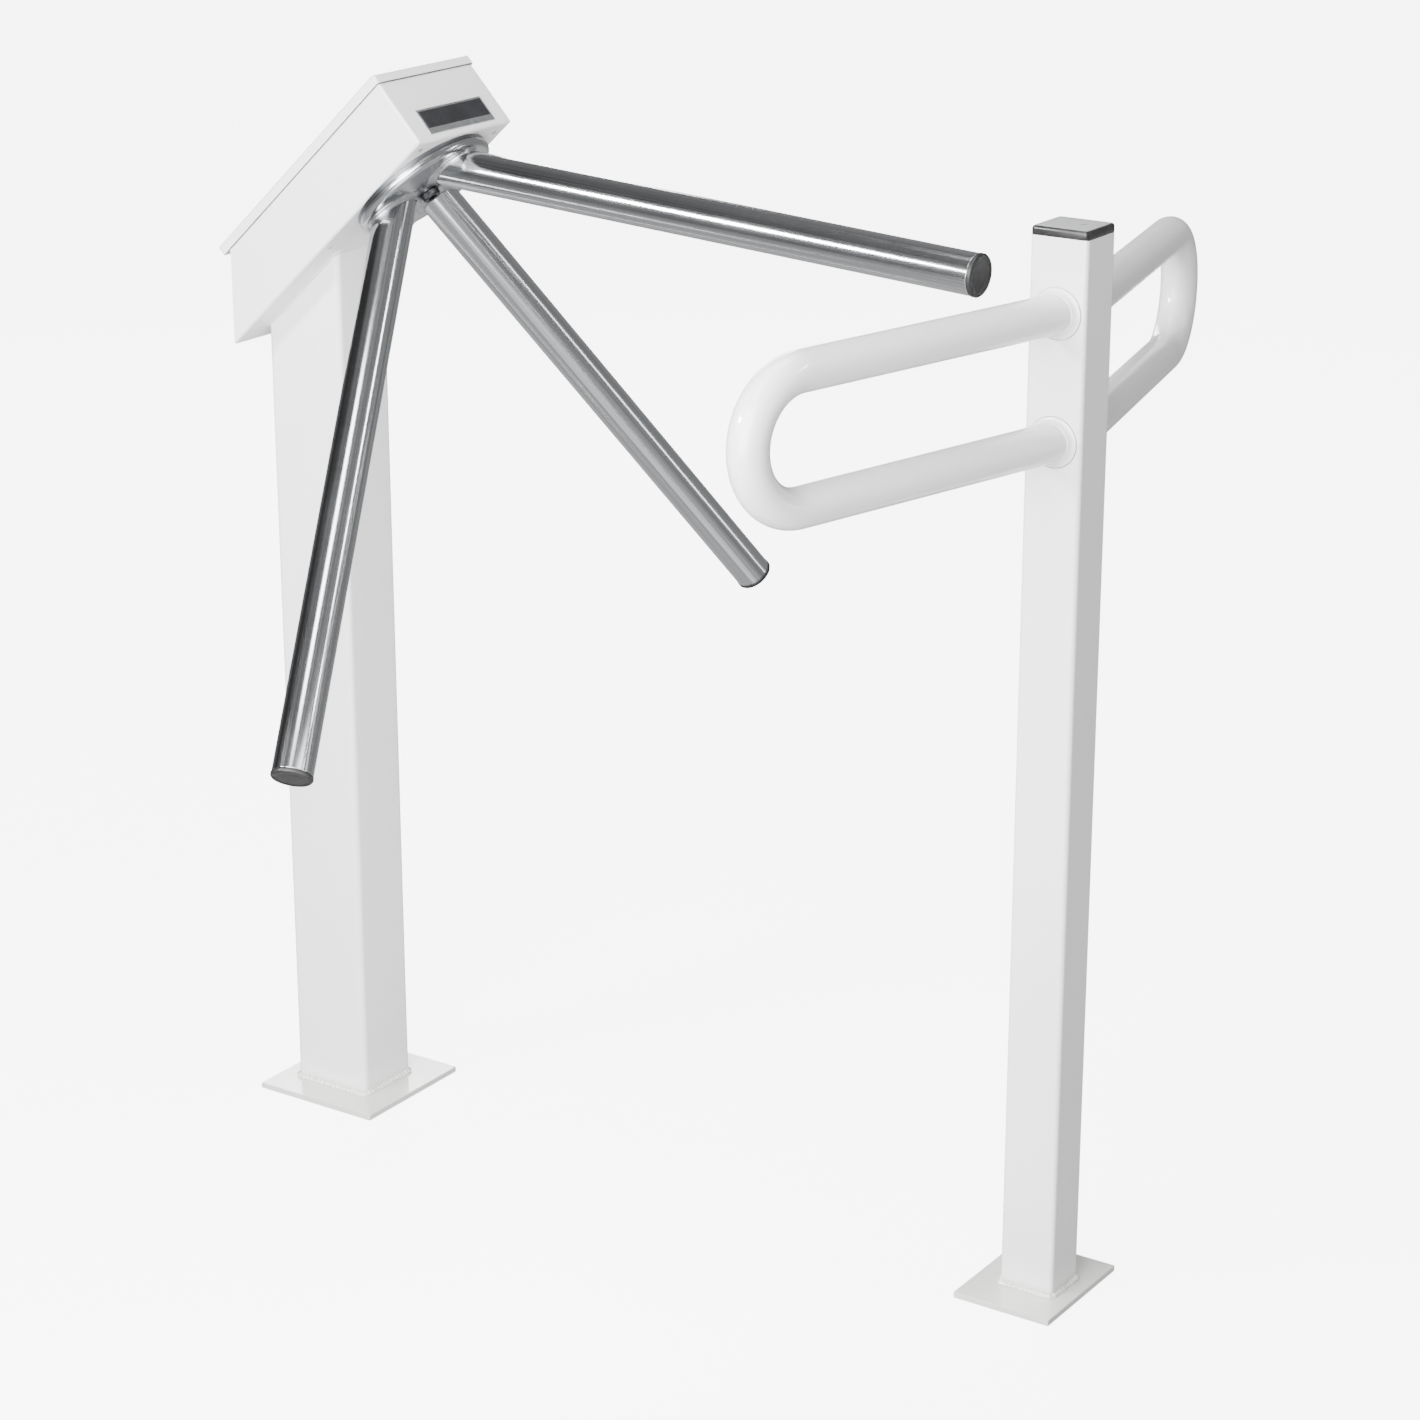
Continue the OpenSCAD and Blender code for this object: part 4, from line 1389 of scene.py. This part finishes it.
@dataclass(frozen=True)
class Room:
    """Grey room round the part, dark on one side and paler underfoot.

    Attributes:
        dark_side: Way from the part to the room's dark side.
        stops: Light of the room against the cosine of the angle to that side.
        ground: Sines of the dips between which the ground's light comes in.
        ground_glow: Light that the ground adds.
        sweep: Radius and height of the floor's rings, the last ones turned up into a wall.
        facets: Points in each of those rings.
    """

    dark_side: Place = (-0.865, -0.356, 0.356)
    stops: tuple[Span, ...] = (
        (0.0, 0.42), (0.2, 0.4), (0.45, 0.3), (0.65, 0.25), (0.84, 0.17), (0.92, 0.07), (1.0, 0.05),
    )
    ground: Span = (-0.25, -0.6)
    ground_glow: float = 0.45
    sweep: tuple[Span, ...] = (
        (8.0, 0.0), (22.0, 0.0), (25.0, 0.6), (27.0, 2.4), (28.0, 6.0), (28.0, 20.0),
    )
    facets: int = 96

    def lay_floor(self, finish: Finish) -> None:
        """Lays a plain pale floor that turns up into a wall far behind.

        Only the camera sees it. The part mirrors the room's lower half in its place.

        Args:
            finish: The floor's finish.
        """
        angles = angles_round(self.facets)
        points = [ray(angle) * radius + UP * z for radius, z in self.sweep for angle in angles]
        faces = [list(range(self.facets)), *stack(len(self.sweep), self.facets)]
        mesh = bpy.data.meshes.new("floor")
        mesh.from_pydata(points, [], faces)
        mesh.materials.append(finish.make())
        obj = add_object("floor", mesh)
        obj.visible_diffuse = obj.visible_glossy = obj.visible_shadow = False

    def paint(self) -> None:
        """Surrounds the part with the room's light."""
        world = bpy.data.worlds.new("studio")
        world.use_nodes = True
        tree = world.node_tree
        tree.nodes.clear()
        way = add_node(tree, "TexCoord").node.outputs["Generated"]
        height = add_node(tree, "SeparateXYZ", Vector=way).node.outputs["Z"]
        side = add_node(
            tree, "VectorMath", operation="DOT_PRODUCT", in_0=way, in_1=self.dark_side
        ).node.outputs["Value"]
        room = add_node(tree, "FloatCurve", Value=side)
        mapping = room.node.mapping
        points = mapping.curves[0].points
        points[0].location, points[1].location = self.stops[0], self.stops[-1]
        for stop in self.stops[1:-1]:
            points.new(*stop)
        mapping.extend = "HORIZONTAL"
        mapping.update()
        rise = between(self.ground, (0.0, self.ground_glow))
        ground = add_node(tree, "MapRange", Value=height, **rise)
        light = add_node(tree, "Math", operation="ADD", in_0=room, in_1=ground)
        back = add_node(tree, "Background", Color="FFFFFF", Strength=light)
        add_node(tree, "OutputWorld", Surface=back)
        bpy.context.scene.world = world


SOFTBOXES = (
    Softbox("overhead", (0.45, 0.1, 3.0), (0.4, 0.0, 0.7), (0.9, 0.9), 28.0),
    Softbox("crown", (0.54, -1.06, 2.33), (0.15, -0.1, 0.7), (0.5, 0.5), 14.0),
    # A long strip, turned across the near arm's line, so that the arm mirrors it from end to end
    Softbox("back_right", (4.96, 1.86, 3.66), (0.187, -0.209, 0.718), (1.5, 0.3), 56.0, 46.0),
    Softbox("front_left", (-1.15, -2.5, 2.05), (0.4, 0.0, 0.8), (0.7, 0.32), 138.0),
    Softbox("front", (0.82, -1.9, 1.25), (0.5, 0.0, 0.7), (1.5, 1.5), 142.0),
    Softbox("fill", (0.6, -0.45, 0.5), (0.045, 0.0, 0.42), (0.4, 0.7), 4.0),
    Softbox("right_rim", (6.95, 4.45, 0.7), (0.187, 0.209, 0.718), (0.67, 1.6), 30.0),
    Softbox("behind", (-2.0, 2.5, 1.6), (0.3, 0.0, 0.6), (1.3, 1.3), 70.0),
    # Light thrown back by the ground, which the far arm mirrors as a soft band
    Softbox("ground_bounce", (1.21, -0.51, -0.84), (0.187, 0.209, 0.718), (1.1, 1.1), 3.0),
)


def finishes(rotor: Rotor, cap_top: float) -> dict[Look, Finish]:
    """Lists what each look is made of.

    Args:
        rotor: The rotor, whose frames its patterns follow.
        cap_top: Height of the guide cap's top face.

    Returns:
        The finishes by look.
    """
    hub = rotor.hub
    # Heights between which the top face of the guide post's cap turns pale grey: a painted
    # reflection
    cap_painted_reflection_heights = (cap_top - 0.32 * MM, cap_top - 0.14 * MM)
    # Stainless arms, polished along their length: bright lines between grey bands
    tubes = {
        look: PolishedTube(
            f"polished_stainless_{look.value}", "A0A2A5", "C2C4C6", (0.13, 0.17), rotor.arm(label)
        )
        for look, label in ((Look.TUBE_1, "1"), (Look.TUBE_2, "2"), (Look.TUBE_3, "3"))
    }
    return tubes | {
        # White paint on all sheet and tube work: clean and glossy, with painted shade greying the
        # floor plates
        Look.POWDER_COAT: PowderCoat("white_powder_coat", "EDEDEE", "F3F3F3", (0.3, 0.35)),
        # Stainless disc, faced and polished: grey with fanned highlights
        Look.TURNED_HUB: TurnedSteel(
            "polished_stainless_disc", "A0A2A5", "B9BBBD", (0.16, 0.22), hub
        ),
        # Fixed ring behind the disc: satin, and darker than the disc as painted shade beside the
        # casing, so that the disc stands out
        Look.SATIN_COVER: TurnedSteel(
            "satin_stainless_ring", "606265", "77797C", (0.26, 0.34), hub
        ),
        # Fillets at the arms' roots: silvery and smooth
        Look.WELD: DressedWeld("dressed_stainless_weld", "9A9B9D", "BCBDBF", (0.24, 0.34)),
        # Machined carbon steel: darker than stainless, with tool rings
        Look.MACHINED: TurnedSteel("machined_carbon_steel", "6E7073", "8F9194", (0.24, 0.34), hub),
        # Rolled sheet and drawn wire: dull grey
        Look.ROLLED: WorkedMetal("rolled_steel", "7A7C80", "989A9D", (0.3, 0.45)),
        # Ground bearing steel: bright, nearly a mirror
        Look.GROUND: WorkedMetal("ground_bearing_steel", "A7A9AC", "C2C4C6", (0.12, 0.22)),
        # Zinc on screws and plungers: pale and a little hazy
        Look.ZINC: WorkedMetal("zinc_plated_steel", "8F9296", "B7BABD", (0.28, 0.4)),
        # Cut brass: warm yellow with soft gloss
        Look.BRASS: WorkedMetal("cut_brass", "9A7B3E", "C3A45C", (0.25, 0.4)),
        # Blacked steel: nearly black with a metal's sheen
        Look.BLACK_OXIDE: ThinCoat(
            "black_oxide_steel", "2E2F31", "434446", (0.28, 0.42), metallic=1.0
        ),
        # Field of the blank plate: even black
        Look.PLATE_ENAMEL: ThinCoat("black_plate_enamel", "18191B", "232427", (0.25, 0.38)),
        # Border of the blank plate: brushed and bright
        Look.PLATE_ALUMINIUM: WorkedMetal(
            "brushed_aluminium_plate", "AEB0B3", "CACCCE", (0.3, 0.4)
        ),
        # Damper's can: dark blue paint
        Look.DAMPER_ENAMEL: ThinCoat("blue_damper_enamel", "22324A", "2E4262", (0.3, 0.45)),
        # Moulded caps and board parts: black with a dull sheen
        Look.PLASTIC: MouldedPlastic(
            "moulded_black_polyethylene", "0F0F10", "1B1B1C", (0.42, 0.55), ior=1.51
        ),
        # Guide post's cap: black rim round a top face painted pale grey as a painted reflection
        Look.GUIDE_CAP: MouldedPlastic(
            "rubbed_black_polyethylene", "131314", "222224", (0.26, 0.36), ior=1.51,
            dust_and_painted_light="ADAEAF", height_bands=((cap_painted_reflection_heights, (0.0, 1.0)),),
        ),
        # Dark strip under the lid's skirt: painted shade of the seam gap, drawn as dull grey rubber
        Look.RUBBER: MouldedPlastic("painted_seam_shade_rubber", "3A3B3D", "4C4D4F", (0.6, 0.75), ior=1.52),
        # Control board: green lacquer with pale tracks
        Look.LAMINATE: Laminate("glass_epoxy_board", "12482A", "2E7A48", (0.25, 0.4), ior=1.55),
    }


def main() -> None:
    """Loads the part, dresses it and builds the studio round it."""
    logging.basicConfig(level=logging.INFO, format="%(name)s: %(message)s")
    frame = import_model()
    shop = Workshop(frame["nodes"])
    head = Head(shop)
    rotor, guide = Rotor(shop, head), GuideRail(shop)
    shop.stock(finishes(rotor, guide.cap_top))
    for part in (Pedestal(shop, head=head), head, rotor, guide, Mechanism(shop)):
        part.dress()
        part.build()
    left = sorted(set(frame["nodes"]) - shop.dressed)
    if left:
        LOG.warning("no finish for %s", left)
    room = Room()
    room.lay_floor(StudioSweep("paper_sweep", "B4B4B4", "FFFFFF", (0.9, 0.9)))
    room.paint()
    for box in SOFTBOXES:
        box.hang()
    Viewpoint().stand()


if __name__ == "__main__":
    main()
